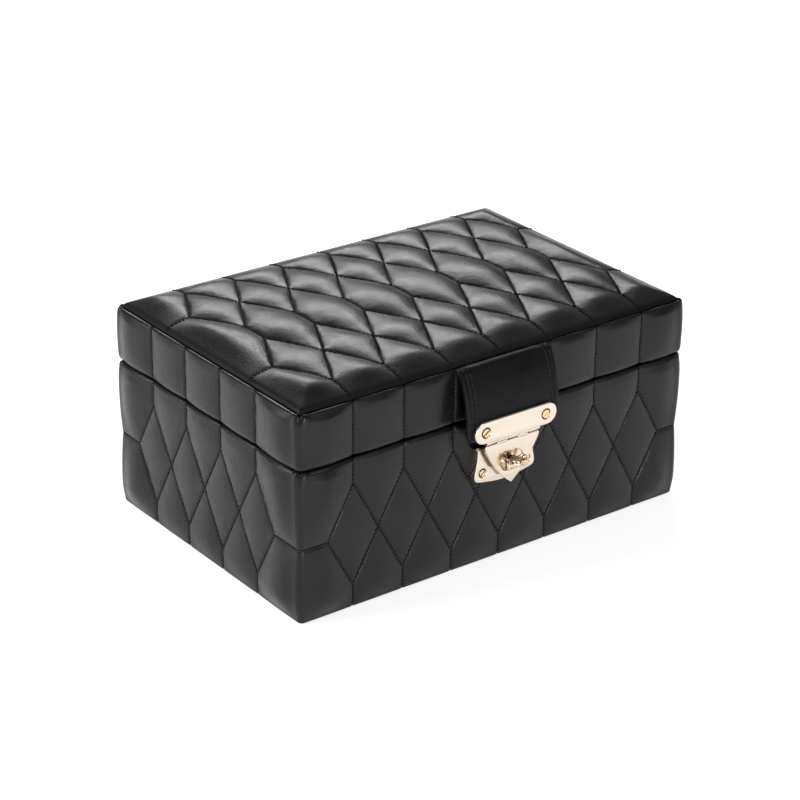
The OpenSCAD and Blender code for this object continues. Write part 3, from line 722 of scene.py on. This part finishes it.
def build_lid_top():
    hx, hy, corner = HX - PAD_INSET, HY - PAD_INSET, 1.2
    first, last = lattice_span(STEP, STEPS_FRONT, SHIFT_X)
    m = (STEPS_FRONT - 1) * LATTICE
    xs = np.concatenate([np.linspace(-hx, first, TOP_MARGIN + 1)[:-1], np.linspace(first, last, m + 1),
                         np.linspace(last, hx, TOP_MARGIN + 1)[1:]])
    lat = np.repeat([-1, 0, STEPS_FRONT * LATTICE + 1], [TOP_MARGIN, m + 1, TOP_MARGIN])
    lat[TOP_MARGIN:-TOP_MARGIN] = np.arange(m + 1) + HALF
    ys, row_lat = [], []
    stops = (-hy, *DIAMONDS, hy)
    for band, n in enumerate(TOP_ROWS):
        ys += np.linspace(stops[band], stops[band + 1], n + 1)[:-1].tolist()
        row_lat += list(range(n)) if band % 2 else [LATTICE if band else -1] + [-1] * (n - 1)
    ys, row_lat = np.array(ys + [hy]), row_lat + [-1]
    rows, cols = len(ys), len(xs)
    pins = np.array([seam_cells(lat, row, STEPS_FRONT) for row in row_lat])
    hu = np.gradient(xs)
    hv = np.gradient(ys)
    edge = pins.copy()
    edge[0] = edge[-1] = True
    edge[:, 0] = edge[:, -1] = True
    phi = membrane(edge, hu, hv, False)
    disp = 2.6 * np.clip(phi / np.percentile(phi, 97), 0, 1.3) ** 0.92
    near = seam_distance(pins, hu, hv, False)
    crinkle, slow, middle = [smooth_noise(pins.shape, cells, 71 + i)
                             for i, cells in enumerate(((151 / 1.9, 223 / 1.9), (11, 16), (30, 45)))]
    disp = creases(disp, near, crinkle, 0.3 * slow, 0.05 * middle, 2.3)
    X, Y = np.meshgrid(xs, ys)
    z0, e = pad_height(hx - np.abs(X), hy - np.abs(Y))
    # square corners drawn in to round ones
    cx, cy = hx - corner, hy - corner
    ax, ay = np.clip(np.abs(X) - cx, 0, None) / corner, np.clip(np.abs(Y) - cy, 0, None) / corner
    both = (ax > 0) & (ay > 0)
    draw_in = np.maximum(ax, ay) / np.maximum(np.hypot(ax, ay), 1e-9)
    X = np.where(both, np.sign(X) * (cx + corner * draw_in * ax), X)
    Y = np.where(both, np.sign(Y) * (cy + corner * draw_in * ay), Y)
    # the quilting fades towards the edge
    fade = np.clip((e - 0.5) / 15.0, 0, 1)
    fade = fade * fade * (3 - 2 * fade)
    disp = disp * (0.16 + 0.84 * fade) - 0.25 * bell(near, GROOVE_WIDTH) * np.clip(e / 2.0, 0.2, 1)
    # the bevel pushes outward as well as up
    slope_x, slope_y = np.gradient(z0, axis=1) / hu[None, :], np.gradient(z0, axis=0) / hv[:, None]
    normals = np.stack([-slope_x, -slope_y, np.ones_like(z0)], -1)
    normals /= np.linalg.norm(normals, axis=-1, keepdims=True)
    normals[..., :2] = np.clip(normals[..., :2], -0.55, 0.55)
    verts = np.stack([X, Y, Z_BAND_TOP + z0], -1) + normals * disp[..., None]
    faces = grid_faces(rows, cols, False, diagonals(pins, smooth_noise(pins.shape, (8, 12), 5) > 0))
    # a skirt goes down inside the seam so that no edge shows
    skirt_in, skirt_down = 1.2, 1.6
    number = np.arange(rows * cols).reshape(rows, cols)
    ring = np.concatenate([number[0], number[1:, -1], number[-1, -2::-1], number[-2:0:-1, 0]])
    flat = verts.reshape(-1, 3)
    skirt = flat[ring] * ((hx - skirt_in) / hx, (hy - skirt_in) / hy, 1) - (0, 0, skirt_down)
    onward = np.roll(ring, -1)
    s = len(flat) + np.arange(len(ring))
    faces = np.concatenate([faces, np.stack([onward, ring, s], 1), np.stack([onward, s, np.roll(s, -1)], 1)])
    o = make_mesh("lid_top_quilted_leather", np.concatenate([flat, skirt]), faces, LEATHER)
    # painted shade: the specular is turned down beside the seams and in a thin dark line along the pad's edge
    paint_seam_shade(o, np.minimum(near, np.clip(e - 0.15, 0, None) * 0.5))
    # stitching
    at = lattice_index(enumerate(lat), STEPS_FRONT)
    f1, b1, f2, b2 = np.cumsum(TOP_ROWS[:4]).tolist()
    lines = []
    for i in range(1, STEPS_FRONT):
        c = at[i * LATTICE]
        lines += [upright(c, 2, f1 + 1), upright(c, b1, f2 + 1), upright(c, b2, rows - 2)]
        lines += diamond_lines(at, i, f1, b1) + diamond_lines(at, i, f2, b2)
    for r in (f1 + HALF, f2 + HALF):
        lines.append([(r, c) for c in range(2, TOP_MARGIN + 1)])
        lines.append([(r, c) for c in range(cols - TOP_MARGIN - 1, cols - 2)])
    return o, thread_object("lid_top_stitching", sew(lines, verts, normals))


base_skin, base_thread = build_base_walls()
band_skin, band_thread = build_lid_band()
top_skin, top_thread = build_lid_top()
for o, body in ((base_skin, "base"), (base_thread, "base"), (band_skin, "lid"), (band_thread, "lid"),
                (top_skin, "lid"), (top_thread, "lid")):
    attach(o, body)
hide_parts("base_leather_wrap", "base_leather_back")
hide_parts("lid_leather_wrap", "lid_leather_back")
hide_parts("lid_top_leather", "lid_top_foam")

# CAD nodes still shown take a finish
node_mats = {"black_leather": STRAP_LEATHER, "suede": SUEDE, "felt": FELT, "gold_metal": GOLD, "steel": STEEL,
             "mirror": MIRROR, "board": SUEDE, "foam": SUEDE}
for part in frame["record"]["subparts"]:
    ob = frame["nodes"][part["node"]]
    ob.data.materials.clear()
    ob.data.materials.append(node_mats[part["material_slot"]])


# ---------------------------------------------------------------- small solid helpers
def curve_plate(name, outlines, y_back, y_front, bevel, material, res=3):
    """A plate standing across Y from outlines drawn in X and Z in mm, edges rounded. Inner outlines are holes."""
    cu = bpy.data.curves.new(name + "_outline", "CURVE")
    cu.dimensions = "2D"
    cu.fill_mode = "BOTH"
    cu.extrude = max((y_back - y_front) / 2 - bevel, 0.0) * MM
    cu.bevel_depth = bevel * MM
    cu.bevel_resolution = res
    cu.offset = -bevel * MM
    for pts in outlines:
        spline = cu.splines.new("POLY")
        spline.points.add(len(pts) - 1)
        for point, (x, z) in zip(spline.points, pts):
            point.co = (x * MM, z * MM, 0, 1)
        spline.use_cyclic_u = True
    tmp = add_object(name + "_tmp", cu)
    bpy.context.view_layer.update()
    me = bpy.data.meshes.new_from_object(tmp.evaluated_get(bpy.context.evaluated_depsgraph_get()))
    bpy.data.objects.remove(tmp)
    bpy.data.curves.remove(cu)
    me.name = name
    # X stays, drawn Y becomes Z, thickness runs along -Y
    me.transform(Matrix(((1, 0, 0, 0), (0, 0, -1, (y_back + y_front) / 2 * MM), (0, 1, 0, 0), (0, 0, 0, 1))))
    me.materials.clear()
    me.materials.append(material)
    face_outward(me, True)
    o = add_object(name, me)
    smooth_by_angle(o, 35)
    return o


def join(name, parts):
    """One object from several of one material."""
    bm = bmesh.new()
    material = parts[0].data.materials[0]
    for o in parts:
        me = o.data
        bm.from_mesh(me)
        bpy.data.objects.remove(o)
        bpy.data.meshes.remove(me)
    out = bpy.data.meshes.new(name)
    bm.to_mesh(out)
    bm.free()
    out.materials.append(material)
    return add_object(name, out)


def circle_pts(cx, cz, r, n=48, a0=0.0, a1=360.0):
    """Points n steps round a circle or, with both its ends, an arc."""
    angles = [math.radians(a0 + (a1 - a0) * i / n) for i in range(n if a1 - a0 == 360 else n + 1)]
    return [(cx + r * math.cos(a), cz + r * math.sin(a)) for a in angles]


def hole(x, z, r):
    return circle_pts(x, z, r, 32)[::-1]


def stadium(cx, cz, w, h, n=24):
    r = h / 2
    return circle_pts(cx + w / 2 - r, cz, r, n, -90, 90) + circle_pts(cx - w / 2 + r, cz, r, n, 90, 270)


def mirrored(half):
    return [(-x, z) for x, z in half[::-1]]


def catmull_rom(p, per):
    """Points of a smooth curve through all of p but its ends, per to a stretch."""
    out = []
    for a, b, c, d in zip(p, p[1:], p[2:], p[3:]):
        for t in np.arange(per) / per:
            out.append(0.5 * (2 * b + (c - a) * t + (2 * a - 5 * b + 4 * c - d) * t * t
                              + (3 * b - a - 3 * c + d) * t ** 3))
    return out


def closed_smooth(pts, per):
    p = np.array(pts, float)
    return catmull_rom(np.vstack([p[-1:], p, p[:2]]), per)


def open_smooth(pts, per):
    p = np.array(pts, float)
    p = np.vstack([2 * p[0] - p[1], p, 2 * p[-1] - p[-2]])
    return np.array(catmull_rom(p, per) + [p[-2]])


def path_frame(path):
    """Distance along a path drawn in Y and Z in mm, and its outward direction at each point."""
    s = np.concatenate([[0], np.cumsum(np.linalg.norm(np.diff(path, axis=0), axis=1))])
    along = np.gradient(path, axis=0)
    along /= np.linalg.norm(along, axis=1)[:, None]
    return s, np.stack([along[:, 1], -along[:, 0]], 1)


def strip_points(path, out, x, height):
    """Points of a strip that follows a path in Y and Z: x across it and height out from it, by row and column."""
    x, height = np.broadcast_arrays(x, height)
    return np.stack([x, path[:, :1] + out[:, :1] * height, path[:, 1:] + out[:, 1:] * height], -1)


def lathe(name, profile, origin, axis, material, n=48):
    """A turned piece: profile = [(distance along axis, radius)] in mm from origin."""
    axis = Vector(axis).normalized()
    u = axis.orthogonal().normalized()
    v = axis.cross(u)
    turns = [2 * math.pi * k / n for k in range(n)]
    o = tube(name, [[Vector(origin) + axis * d + (u * math.cos(q) + v * math.sin(q)) * max(r, 1e-4) for q in turns]
                    for d, r in profile], material)
    smooth_by_angle(o, 40)
    return o


def rounded_rod(name, x0, x1, r, edge=0.25):
    """A rod along the clasp's hinge line."""
    length, cut = x1 - x0, edge * 0.3
    profile = [(0, r - edge), (cut, r - cut), (edge, r),
               (length - edge, r), (length - cut, r - cut), (length, r - edge)]
    return lathe(name, profile, (x0, AXIS_Y, AXIS_Z), (1, 0, 0), GOLD, 40)


def slotted_head(name, x, z, y_face, r, angle, height, slot, depth):
    """A low round screw head on a face at y_face, with a straight slot turned by angle."""
    floor = height - depth
    parts = [lathe(name + "_b", [(0, r), (floor, r), (floor, 0.01)], (x, y_face, z), (0, -1, 0), GOLD_KNOB, 40)]
    half = math.degrees(math.asin(slot / 2 / r))
    for s in (0, 180):
        q = math.radians(angle + s)
        pts = [(x + a * math.cos(q) - b * math.sin(q), z + a * math.sin(q) + b * math.cos(q))
               for a, b in circle_pts(0, 0, r, 22, half, 180 - half)]
        parts.append(curve_plate(name + "_s%d" % s, [pts], y_face - floor + 0.02, y_face - height, 0.14, GOLD_KNOB, 2))
    return join(name, parts)


def soft_boxes(name, boxes, bevel, material, seg=3):
    """Rounded boxes from lowest and highest corners in mm, as one piece."""
    bm = bmesh.new()
    for lo, hi in boxes:
        c = [(lo[i] + hi[i]) / 2 * MM for i in range(3)]
        s = [(hi[i] - lo[i]) * MM for i in range(3)]
        made = bmesh.ops.create_cube(bm, size=1.0)["verts"]
        for v in made:
            v.co = [c[i] + v.co[i] * s[i] for i in range(3)]
        b = min(bevel * MM, min(s) * 0.48)
        edges = list({e for v in made for e in v.link_edges})
        bmesh.ops.bevel(bm, geom=edges, offset=b, segments=seg, profile=0.5, affect="EDGES")
    me = bpy.data.meshes.new(name)
    bm.to_mesh(me)
    bm.free()
    me.materials.append(material)
    o = add_object(name, me)
    smooth_by_angle(o, 50)
    return o


def node_box_mm(node):
    return [tuple(c / MM for c in point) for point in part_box(node)]


def stand_in(o, body, slot_name, *nodes, pad=None):
    if o.parent is None and "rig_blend" not in o:
        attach(o, body)
    if nodes:
        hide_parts(*nodes)
    return o


# ---------------------------------------------------------------- strap
STRAP_HALF = 26.8
STRAP_SEAMS = (2.9, 4.9)       # how far in from its edges the seams run


def build_strap():
    end_radius, thick = 5, 1.18
    path = open_smooth([(-71.6, 99.8), (-73.4, 101.0), (-75.2, 101.5), (-77.0, 101.2), (-78.5, 99.9), (-79.9, 97.4),
                        (-81.3, 94.0), (-82.7, 89.0), (-83.6, 84.0), (-84.1, 79.5), (-84.2, 75.5), (-84.2, 72.0),
                        (-84.2, 69.1)], 9)
    s, out = path_frame(path)
    side = [(0.76, 0.855, 8), (0.86, 1, 9)]      # finer columns over the seams and the edges
    xs = np.concatenate([np.linspace(-b, -a, n) for a, b, n in side[::-1]] + [np.linspace(-0.74, 0.74, 30)]
                        + [np.linspace(a, b, n) for a, b, n in side])
    to_end = s[-1] - s
    half = STRAP_HALF - end_radius + np.sqrt(end_radius ** 2 - (end_radius - np.minimum(to_end, end_radius)) ** 2)
    edge = STRAP_HALF * (1 - np.abs(xs))
    groove = 0.28 * sum(bell(edge - inset, 0.42) for inset in STRAP_SEAMS)
    dome = 0.28 * np.clip(1 - (xs * STRAP_HALF / 22.0) ** 2, 0, 1)
    flat = thick * rounding(edge)
    thinner = np.clip(to_end, 0.25, 1)[:, None]
    uneven = 0.06 * smooth_noise((len(path), len(xs)), (10, 12), 91)
    x = half[:, None] * xs
    front = strip_points(path, out, x, (flat - groove + dome + uneven) * thinner)
    back = strip_points(path, out, x, -flat * thinner)
    rings = np.concatenate([front, back[:, -2:0:-1]], 1)
    o = tube("clasp_strap", rings, STRAP_LEATHER)
    # painted shade: the specular is turned down where it comes out of the seam under the pad
    paint_seam_shade(o, np.repeat(np.clip(s - 4.6, 0, None) * 0.4, rings.shape[1]))
    store = []
    ups = np.insert(out, 0, 0, 1)
    for sx in SIGNS:
        for inset in STRAP_SEAMS:
            column = int(np.argmin(np.abs(xs * STRAP_HALF - sx * (STRAP_HALF - inset))))
            stitch_run(store, front[6:-3, column], ups[6:-3], pitch=2.1, jitter=0.05, radius=0.19)
    return o, thread_object("clasp_strap_stitching", store, STRAP_THREAD)


strap, strap_thread = build_strap()
for o in (strap, strap_thread):
    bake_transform(o, "lid", "strap", start=(0, -0.0765, 0.1034), end=(0, -0.0805, 0.0970))
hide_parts("strap_root", "strap_tab")


# ---------------------------------------------------------------- clasp metal
BAR_Z, BAR_FRONT, STRAP_FRONT, STRAP_BACK = 73.7, -87.4, -85.4, -83.0
AXIS_Y, AXIS_Z, BARREL = -84.2, 67.0, 1.5      # the hasp's hinge
KNOB_Z = 54.3
KNUCKLES = [-15.6, -9.1, -3.0, 3.0, 9.1, 15.6]
BAR_SCREW_X, KEEPER_SCREW_X, KEEPER_SCREW_Z = 17.4, 13, 49.2


def screw_heads(name, body, node, x, z, y_face, r, angles, height, slot, depth):
    heads = [slotted_head("head%d" % i, x * SIGNS[i], z, y_face, r, angle, height, slot, depth)
             for i, angle in enumerate(angles)]
    stand_in(join(name, heads), body, "gold_metal", node)


def knuckle(k, z0, z1, y_back, y_front):
    """One barrel of the hasp's hinge, and the web that holds it to its plate."""
    x0, x1 = KNUCKLES[k] + 0.1, KNUCKLES[k + 1] - 0.1
    web = [(x0, z0), (x1, z0), (x1, z1), (x0, z1)]
    return [rounded_rod("barrel%d" % k, x0, x1, BARREL), curve_plate("web%d" % k, [web], y_back, y_front, 0.1, GOLD, 1)]


bar = curve_plate("clasp_bar", [stadium(0, BAR_Z, 47.5, 10.8), hole(-BAR_SCREW_X, BAR_Z, 2.5),
                                hole(BAR_SCREW_X, BAR_Z, 2.5)], STRAP_FRONT + 0.3, BAR_FRONT, 0.55, GOLD, 4)
stand_in(bar, "strap", "gold_metal", "bar_plate")
screw_heads("clasp_bar_screws", "strap", "bar_screws", BAR_SCREW_X, BAR_Z, BAR_FRONT + 2.0, 2.1, (38, 20),
            2.15, 0.8, 0.6)
back_parts = [curve_plate("plate", [[(-22, 68.8), (22, 68.8), (22, 78.1), (-22, 78.1)]],
                          STRAP_BACK + 1.0, STRAP_BACK, 0.25, GOLD, 2)]
for k in (0, 2, 4):
    back_parts += knuckle(k, AXIS_Z, 68.95, STRAP_BACK + 1.0, AXIS_Y)
stand_in(join("clasp_hinge_leaf", back_parts), "strap", "gold_metal", "bar_back_plate")
stand_in(rounded_rod("clasp_hinge_pin", -15.5, 15.5, 0.7, 0.1), "strap", "gold_metal", "hasp_pin")

half_hasp = [(15.2, 65.15), (15.85, 64.5), (15.55, 62.9), (14.4, 60.7), (12.9, 58.1), (11.3, 55.3), (9.3, 52.2),
             (7.0, 49.3), (4.6, 46.8), (2.2, 44.7), (0.35, 43.1)]
hasp_line = [(-14.6, 65.2), (14.6, 65.2)] + half_hasp + mirrored(half_hasp)
hasp_back, hasp_front = AXIS_Y + 1.0, AXIS_Y - 0.6
hasp_parts = [curve_plate("plate", [hasp_line, stadium(0, KNOB_Z, 13.6, 9.2)[::-1]],
                          hasp_back, hasp_front, 0.42, GOLD, 4)]
for k in (1, 3):
    hasp_parts += knuckle(k, 64.5, 66.8, hasp_back, hasp_front)
stand_in(join("clasp_hasp", hasp_parts), "hasp", "gold_metal", "hasp_plate")

half_keep = [(15.2, 62.4), (16.1, 61.8), (15.95, 59.9), (16.15, 56.4), (16.9, 51.9), (17.55, 48.4), (17.5, 46.8),
             (16.7, 45.5), (15.2, 44.8), (11.0, 44.0), (6.0, 43.2)]
keep_line = closed_smooth(half_keep + [(0, 42.85)] + mirrored(half_keep), 5)
keep_holes = [hole(0, KNOB_Z, 2.3)] + [hole(s * KEEPER_SCREW_X, KEEPER_SCREW_Z, 2.15) for s in SIGNS]
collar = [(0, 4.4), (1.3, 4.4), (1.6, 4.1), (1.7, 3.4), (1.7, 2.3), (0, 2.3)]
keep_parts = [curve_plate("plate", [keep_line] + keep_holes, -74.6, -80.0, 0.6, GOLD, 4),
              lathe("collar", collar, (0, -79.9, KNOB_Z), (0, -1, 0), GOLD)]
stand_in(join("clasp_keeper", keep_parts), "base", "gold_metal", "keeper_plate")
screw_heads("clasp_keeper_screws", "base", "keeper_screws", KEEPER_SCREW_X, KEEPER_SCREW_Z, -76.0, 1.78, (45, 15),
            4.15, 0.7, 0.5)


def build_knob():
    """A winged thumb turn: two lobes either side of a waisted boss with a raised ridge."""
    post = [(0, 2.1), (15.3, 2.1), (16.2, 3.0), (17.4, 3.2)]
    n, m = 61, 40
    wing_back, wing_half = -85.45, 6.2
    u = np.linspace(-1, 1, n)[:, None]
    a = np.abs(u)
    tip = np.sqrt(np.clip(1 - a ** 5, 0, None))
    height = (1.95 + 0.95 * bell(a - 0.55, 0.26)) * tip + 0.02
    depth = (3.3 + 1.9 * bell(a, 0.24) + 1.0 * bell(a - 0.6, 0.2)) * tip + 0.05
    q = 2 * np.pi * np.arange(m) / m
    c, s = np.cos(q), np.sin(q)
    z = height * np.sign(c) * np.abs(c) ** 0.8
    out = depth / 2 * (1 + np.sign(s) * np.abs(s) ** 0.8) + 0.35 * bell(z, 0.7) * (s > 0) * tip
    x = np.broadcast_to(wing_half * np.sin(u * np.pi / 2), z.shape)
    wing = tube("wing", np.stack([x, wing_back - out, KNOB_Z + z], -1), GOLD_KNOB)
    return join("clasp_turn_knob", [lathe("post", post, (0, -69.8, KNOB_Z), (0, -1, 0), GOLD_KNOB, 40), wing])


stand_in(build_knob(), "knob", "gold_metal", "turn_knob")


# ---------------------------------------------------------------- leather spine across the back
def build_spine():
    half, bend, thick, seam = 104.5, 2.45, 0.6, 1.8
    path = open_smooth([(74.25, 66.2), (74.3, 68.5), (74.35, 71.0), (74.6, 72.6)]
                       + circle_pts(HINGE_Y, HINGE_Z, bend, 10, -62, 58)
                       + [(74.6, 78.9), (74.35, 80.5), (74.3, 83.0), (74.25, 85.3)], 5)
    s, out = path_frame(path)
    xs = np.linspace(-half, half, 260)
    uneven = 0.07 * smooth_noise((len(path), len(xs)), (6, 60), 95)
    e = np.minimum(s, s[-1] - s)[:, None]
    flat = thick * np.sqrt(np.clip(1 - (1 - np.clip(e / thick, 0, 1)) ** 2, 0.02, 1))
    front = strip_points(path, out, xs, flat + uneven - 0.2 * bell(e - seam, 0.4))
    back = strip_points(path, out, xs, -flat)
    o = tube("hinge_leather_spine", np.concatenate([front, back[:, ::-1]], 1), STRAP_LEATHER, False)
    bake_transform(o, "base", "lid", start=(0, 0.0745, 0.0732), end=(0, 0.0745, 0.0783))
    stand_in(o, "base", "black_leather", "spine_strip")
    for name, body, row in (("spine_stitching_base", "base", seam), ("spine_stitching_lid", "lid", s[-1] - seam)):
        i = int(np.argmin(np.abs(s - row)))
        store = []
        ups = np.tile([0, *out[i]], (len(xs), 1))
        stitch_run(store, front[i][3:-3], ups[3:-3], pitch=2.4, jitter=0.06)
        stand_in(thread_object(name, store), body, "black_leather")


build_spine()


# ---------------------------------------------------------------- lining, tray and mirror
def suede_boxes(node, body, boxes, bevel, seg=3):
    stand_in(soft_boxes(node + "_suede", boxes, bevel, SUEDE, seg), body, "suede", node)


for side in ("front", "back", "left", "right"):
    suede_boxes("base_lining_" + side, "base", [node_box_mm("base_lining_" + side)], 0.8)
for n in ("tray_floor", "tray_wall_front", "tray_wall_back", "tray_wall_left", "tray_wall_right", "tray_divider_main"):
    suede_boxes(n, "tray", [node_box_mm(n)], 1.1 if n != "tray_floor" else 0.5, 4)
(x0, y0, z0), (x1, y1, z1) = node_box_mm("tray_cross_dividers")
suede_boxes("tray_cross_dividers", "tray", [((x0, y0, z0), (x1, y0 + 3, z1)), ((x0, y1 - 3, z0), (x1, y1, z1))], 1.1, 4)
(x0, y0, z0), (x1, y1, z1) = node_box_mm("tray_ledges")
suede_boxes("tray_ledges", "base", [((x0, y0, z0), (x0 + 4, y1, z1)), ((x1 - 4, y0, z0), (x1, y1, z1))], 0.7)
(_, y0, z0), (x1, y1, z1) = node_box_mm("well_dividers")
suede_boxes("well_dividers", "base", [((-31.5, y0, z0), (-28.5, y1, z1)), ((-29, -1.5, z0), (x1, 1.5, z1))], 1.0, 4)
(_, _, z0), (x, y, z1) = node_box_mm("lid_wall_linings")
suede_boxes("lid_wall_linings", "lid", [((-x, -y, z0), (x, -y + 2, z1)), ((-x, y - 2, z0), (x, y, z1)),
                                        ((-x, -y + 2, z0), (-x + 2, y - 2, z1)),
                                        ((x - 2, -y + 2, z0), (x, y - 2, z1))], 0.8)


def puffed_slab(name, lo, hi, puff, seed, edge, window=None):
    """A padded slab with a rounded, slightly uneven upper face, or lower face if it has a window cut in it."""
    pitch = 1.6
    counts = [int((hi[v] - lo[v]) / pitch) for v in range(2)]
    places = [np.linspace(lo[v], hi[v], counts[v] + 1) for v in range(2)]
    if window:
        for v in range(2):
            for corner in window:
                places[v][np.argmin(np.abs(places[v] - corner[v]))] = corner[v]
    X, Y = np.meshgrid(*places)
    e = np.minimum(np.minimum(X - lo[0], hi[0] - X), np.minimum(Y - lo[1], hi[1] - Y))
    if window:
        (wx0, wy0), (wx1, wy1) = window
        dx = np.maximum(np.maximum(wx0 - X, X - wx1), 0)
        dy = np.maximum(np.maximum(wy0 - Y, Y - wy1), 0)
        e = np.minimum(e, np.hypot(dx, dy))
    rise = rounding(e / edge)
    uneven = 0.18 * smooth_noise(X.shape, (counts[1] / 9, counts[0] / 9), seed) * rise
    top, bottom = hi[2] - puff + puff * rise + uneven, np.full_like(X, lo[2])
    if window:
        top, bottom = np.full_like(X, hi[2]), lo[2] + puff - puff * rise + uneven
    n = X.size
    verts = np.concatenate([np.stack([X, Y, z], -1).reshape(-1, 3) for z in (top, bottom)])
    quad = grid_faces(*X.shape, False)
    if window:
        x, y = verts[quad].mean(1)[:, :2].T
        quad = quad[~((x > wx0) & (x < wx1) & (y > wy0) & (y < wy1))]
    edges = [pair for q in quad.tolist() for pair in zip(q, q[1:] + q[:1])]
    known = set(edges)
    rim = [(b, a, a + n, b + n) for a, b in edges if (b, a) not in known]
    o = make_mesh(name, verts, np.concatenate([quad, quad[:, ::-1] + n, np.array(rim)]), SUEDE)
    smooth_by_angle(o, 60)
    return o


lo, hi = node_box_mm("base_floor_pad")
stand_in(puffed_slab("base_floor_pad_suede", lo, hi, 1.3, 301, 6.0), "base", "suede", "base_floor_pad", pad=0.5)
lo, hi = node_box_mm("mirror_panel")
glass = node_box_mm("mirror_glass")
stand_in(puffed_slab("mirror_frame_suede", lo, hi, 2.2, 305, 7.0, [corner[:2] for corner in glass]),
         "lid", "suede", "mirror_panel", pad=0.6)
stand_in(soft_boxes("lid_mirror", [glass], 0.8, MIRROR, 1), "lid", "mirror", "mirror_glass")


def build_ring_roll(k):
    lo, hi = node_box_mm("ring_roll_%d" % k)
    yc, r = (lo[1] + hi[1]) / 2, (hi[1] - lo[1]) / 2
    spring = hi[2] - r                     # height where the round top begins
    n, m = 120, 40
    x = np.linspace(lo[0], hi[0], n)[:, None]
    a = np.pi * np.arange(m) / (m - 1)
    w = rounding((np.minimum(x - lo[0], hi[0] - x) + 0.15) / 3.2)      # 0 at the ends, 1 along the middle
    uneven = 0.16 * smooth_noise((n, m), (26, 5), 400 + k) + 0.06 * smooth_noise((n, m), (60, 14), 430 + k)
    radius = r * (0.88 + 0.12 * w) + uneven * w - 0.15
    foot, ground = r * (0.9 + 0.1 * w), np.full((n, 1), lo[2])
    y = np.hstack([yc - foot, yc - np.cos(a) * radius, yc + foot])
    z = np.hstack([ground, spring + np.sin(a) * radius * (0.9 + 0.1 * w) - (1 - w) * 0.8, ground])
    o = tube("ring_roll_%d_suede" % k, np.stack([np.broadcast_to(x, y.shape), y, z], -1), SUEDE_ROLL)
    smooth_by_angle(o, 55)
    stand_in(o, "tray", "suede", "ring_roll_%d" % k, pad=0.8)


for k in range(1, 6):
    build_ring_roll(k)


def build_pulls():
    lo, hi = node_box_mm("tray_pulls")
    thick, r, seam_r = 1.2, 8, 6.3
    parts = []
    store = []
    for s in SIGNS:
        middle = lo[0] + thick / 2 if s < 0 else hi[0] - thick / 2
        pts = [(-r, lo[2]), (r, lo[2])] + circle_pts(0, hi[2] - r, r, 20, 0, 180)
        o = curve_plate("pull%d" % s, [pts], thick / 2, -thick / 2, 0.4, STRAP_LEATHER)
        o.data.transform(Matrix.Translation((middle * MM, 0, 0)) @ Matrix.Rotation(math.pi / 2, 4, "Z"))
        parts.append(o)
        arc = [(-seam_r, lo[2] + 1), *circle_pts(0, hi[2] - r, seam_r, 20, 180, 0), (seam_r, lo[2] + 1)]
        arc = np.insert(np.array(arc), 0, middle - s * thick / 2, 1)
        stitch_run(store, arc, np.tile([-s, 0, 0], (len(arc), 1)), pitch=2.0, jitter=0.03, radius=0.15)
    o = join("tray_pull_tabs", parts)
    smooth_by_angle(o, 40)
    stand_in(o, "tray", "black_leather", "tray_pulls")
    stand_in(thread_object("tray_pull_stitching", store), "tray", "black_leather")


build_pulls()


# ---------------------------------------------------------------- stage, light, camera
DOME = 0.85
FLOOR_GLOW = 0.69
FLOOR_REACH = 30000            # mm


def area_light(name, loc, target, size, power, size_y=None):
    light = bpy.data.lights.new(name, "AREA")
    light.energy = power
    light.size = size
    if size_y:
        light.shape = "RECTANGLE"
        light.size_y = size_y
    o = add_object(name, light)
    o.location = loc
    o.rotation_euler = (Vector(target) - Vector(loc)).to_track_quat("-Z", "Y").to_euler()


def build_stage():
    m, tree, surface = new_material("white_sweep")
    set_inputs(tree, surface, {"Base Color": (0.85, 0.85, 0.85, 1), "Roughness": 0.9,
                               "Emission Color": (1, 1, 1, 1), "Emission Strength": FLOOR_GLOW})
    corners = [(x * FLOOR_REACH, y * FLOOR_REACH, 0) for x, y in ((-1, -1), (1, -1), (1, 1), (-1, 1))]
    make_mesh("floor", corners, [(0, 1, 2, 3)], m, False)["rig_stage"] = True
    world = bpy.data.worlds.new("studio")
    bpy.context.scene.world = world
    world.use_nodes = True
    tree = world.node_tree
    height = add_node(tree, "SeparateXYZ", "Z", {"Vector": add_node(tree, "TexCoord", "Generated", {})})
    greys = ((0.0, 0.06), (0.25, 0.12), (0.5, 0.38), (0.75, 0.38), (0.95, 0.2))
    dome = ramp(tree, height, [(place, (grey,) * 3) for place, grey in greys])
    set_inputs(tree, tree.nodes["Background"], {"Color": dome, "Strength": DOME})


build_stage()
area_light("key_back", (0.75, 1.3, 1.0), (0, 0, 0.1), 0.9, 12.4, 0.36)
area_light("low_front_glint", (-0.42, -1.35, 0.1), (0, 0, 0.05), 0.45, 7, 0.17)
area_light("left_box", (-1.5, 0.75, 0.85), (0, 0, 0.0), 1.1, 20)
area_light("front_soft", (0.2, -1.5, 1.3), (0, -0.1, 0.0), 0.9, 7)

CAMERA_DISTANCE = 1.2346
cam_data = bpy.data.cameras.new("camera")
cam_data.lens = 115.5
cam_data.sensor_width = 36
cam_data.clip_start, cam_data.clip_end = 0.05, 80
cam = add_object("camera", cam_data)
az, el, roll = math.radians(-37.15), math.radians(25.16), math.radians(0.67)
back = Vector((math.sin(az) * math.cos(el), -math.cos(az) * math.cos(el), math.sin(el)))
target = Vector((-0.0005, -0.00025, 0.0523))
fwd = -back
right = fwd.cross(Vector((0, 0, 1))).normalized()
up = right.cross(fwd)
rolled_right = right * math.cos(roll) + up * math.sin(roll)
rolled_up = up * math.cos(roll) - right * math.sin(roll)
rot = Matrix((rolled_right, rolled_up, -fwd)).transposed()
cam.matrix_world = Matrix.Translation(target + back * CAMERA_DISTANCE) @ rot.to_4x4()
bpy.context.scene.camera = cam
bpy.context.scene.view_settings.view_transform = "Standard"

lo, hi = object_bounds()
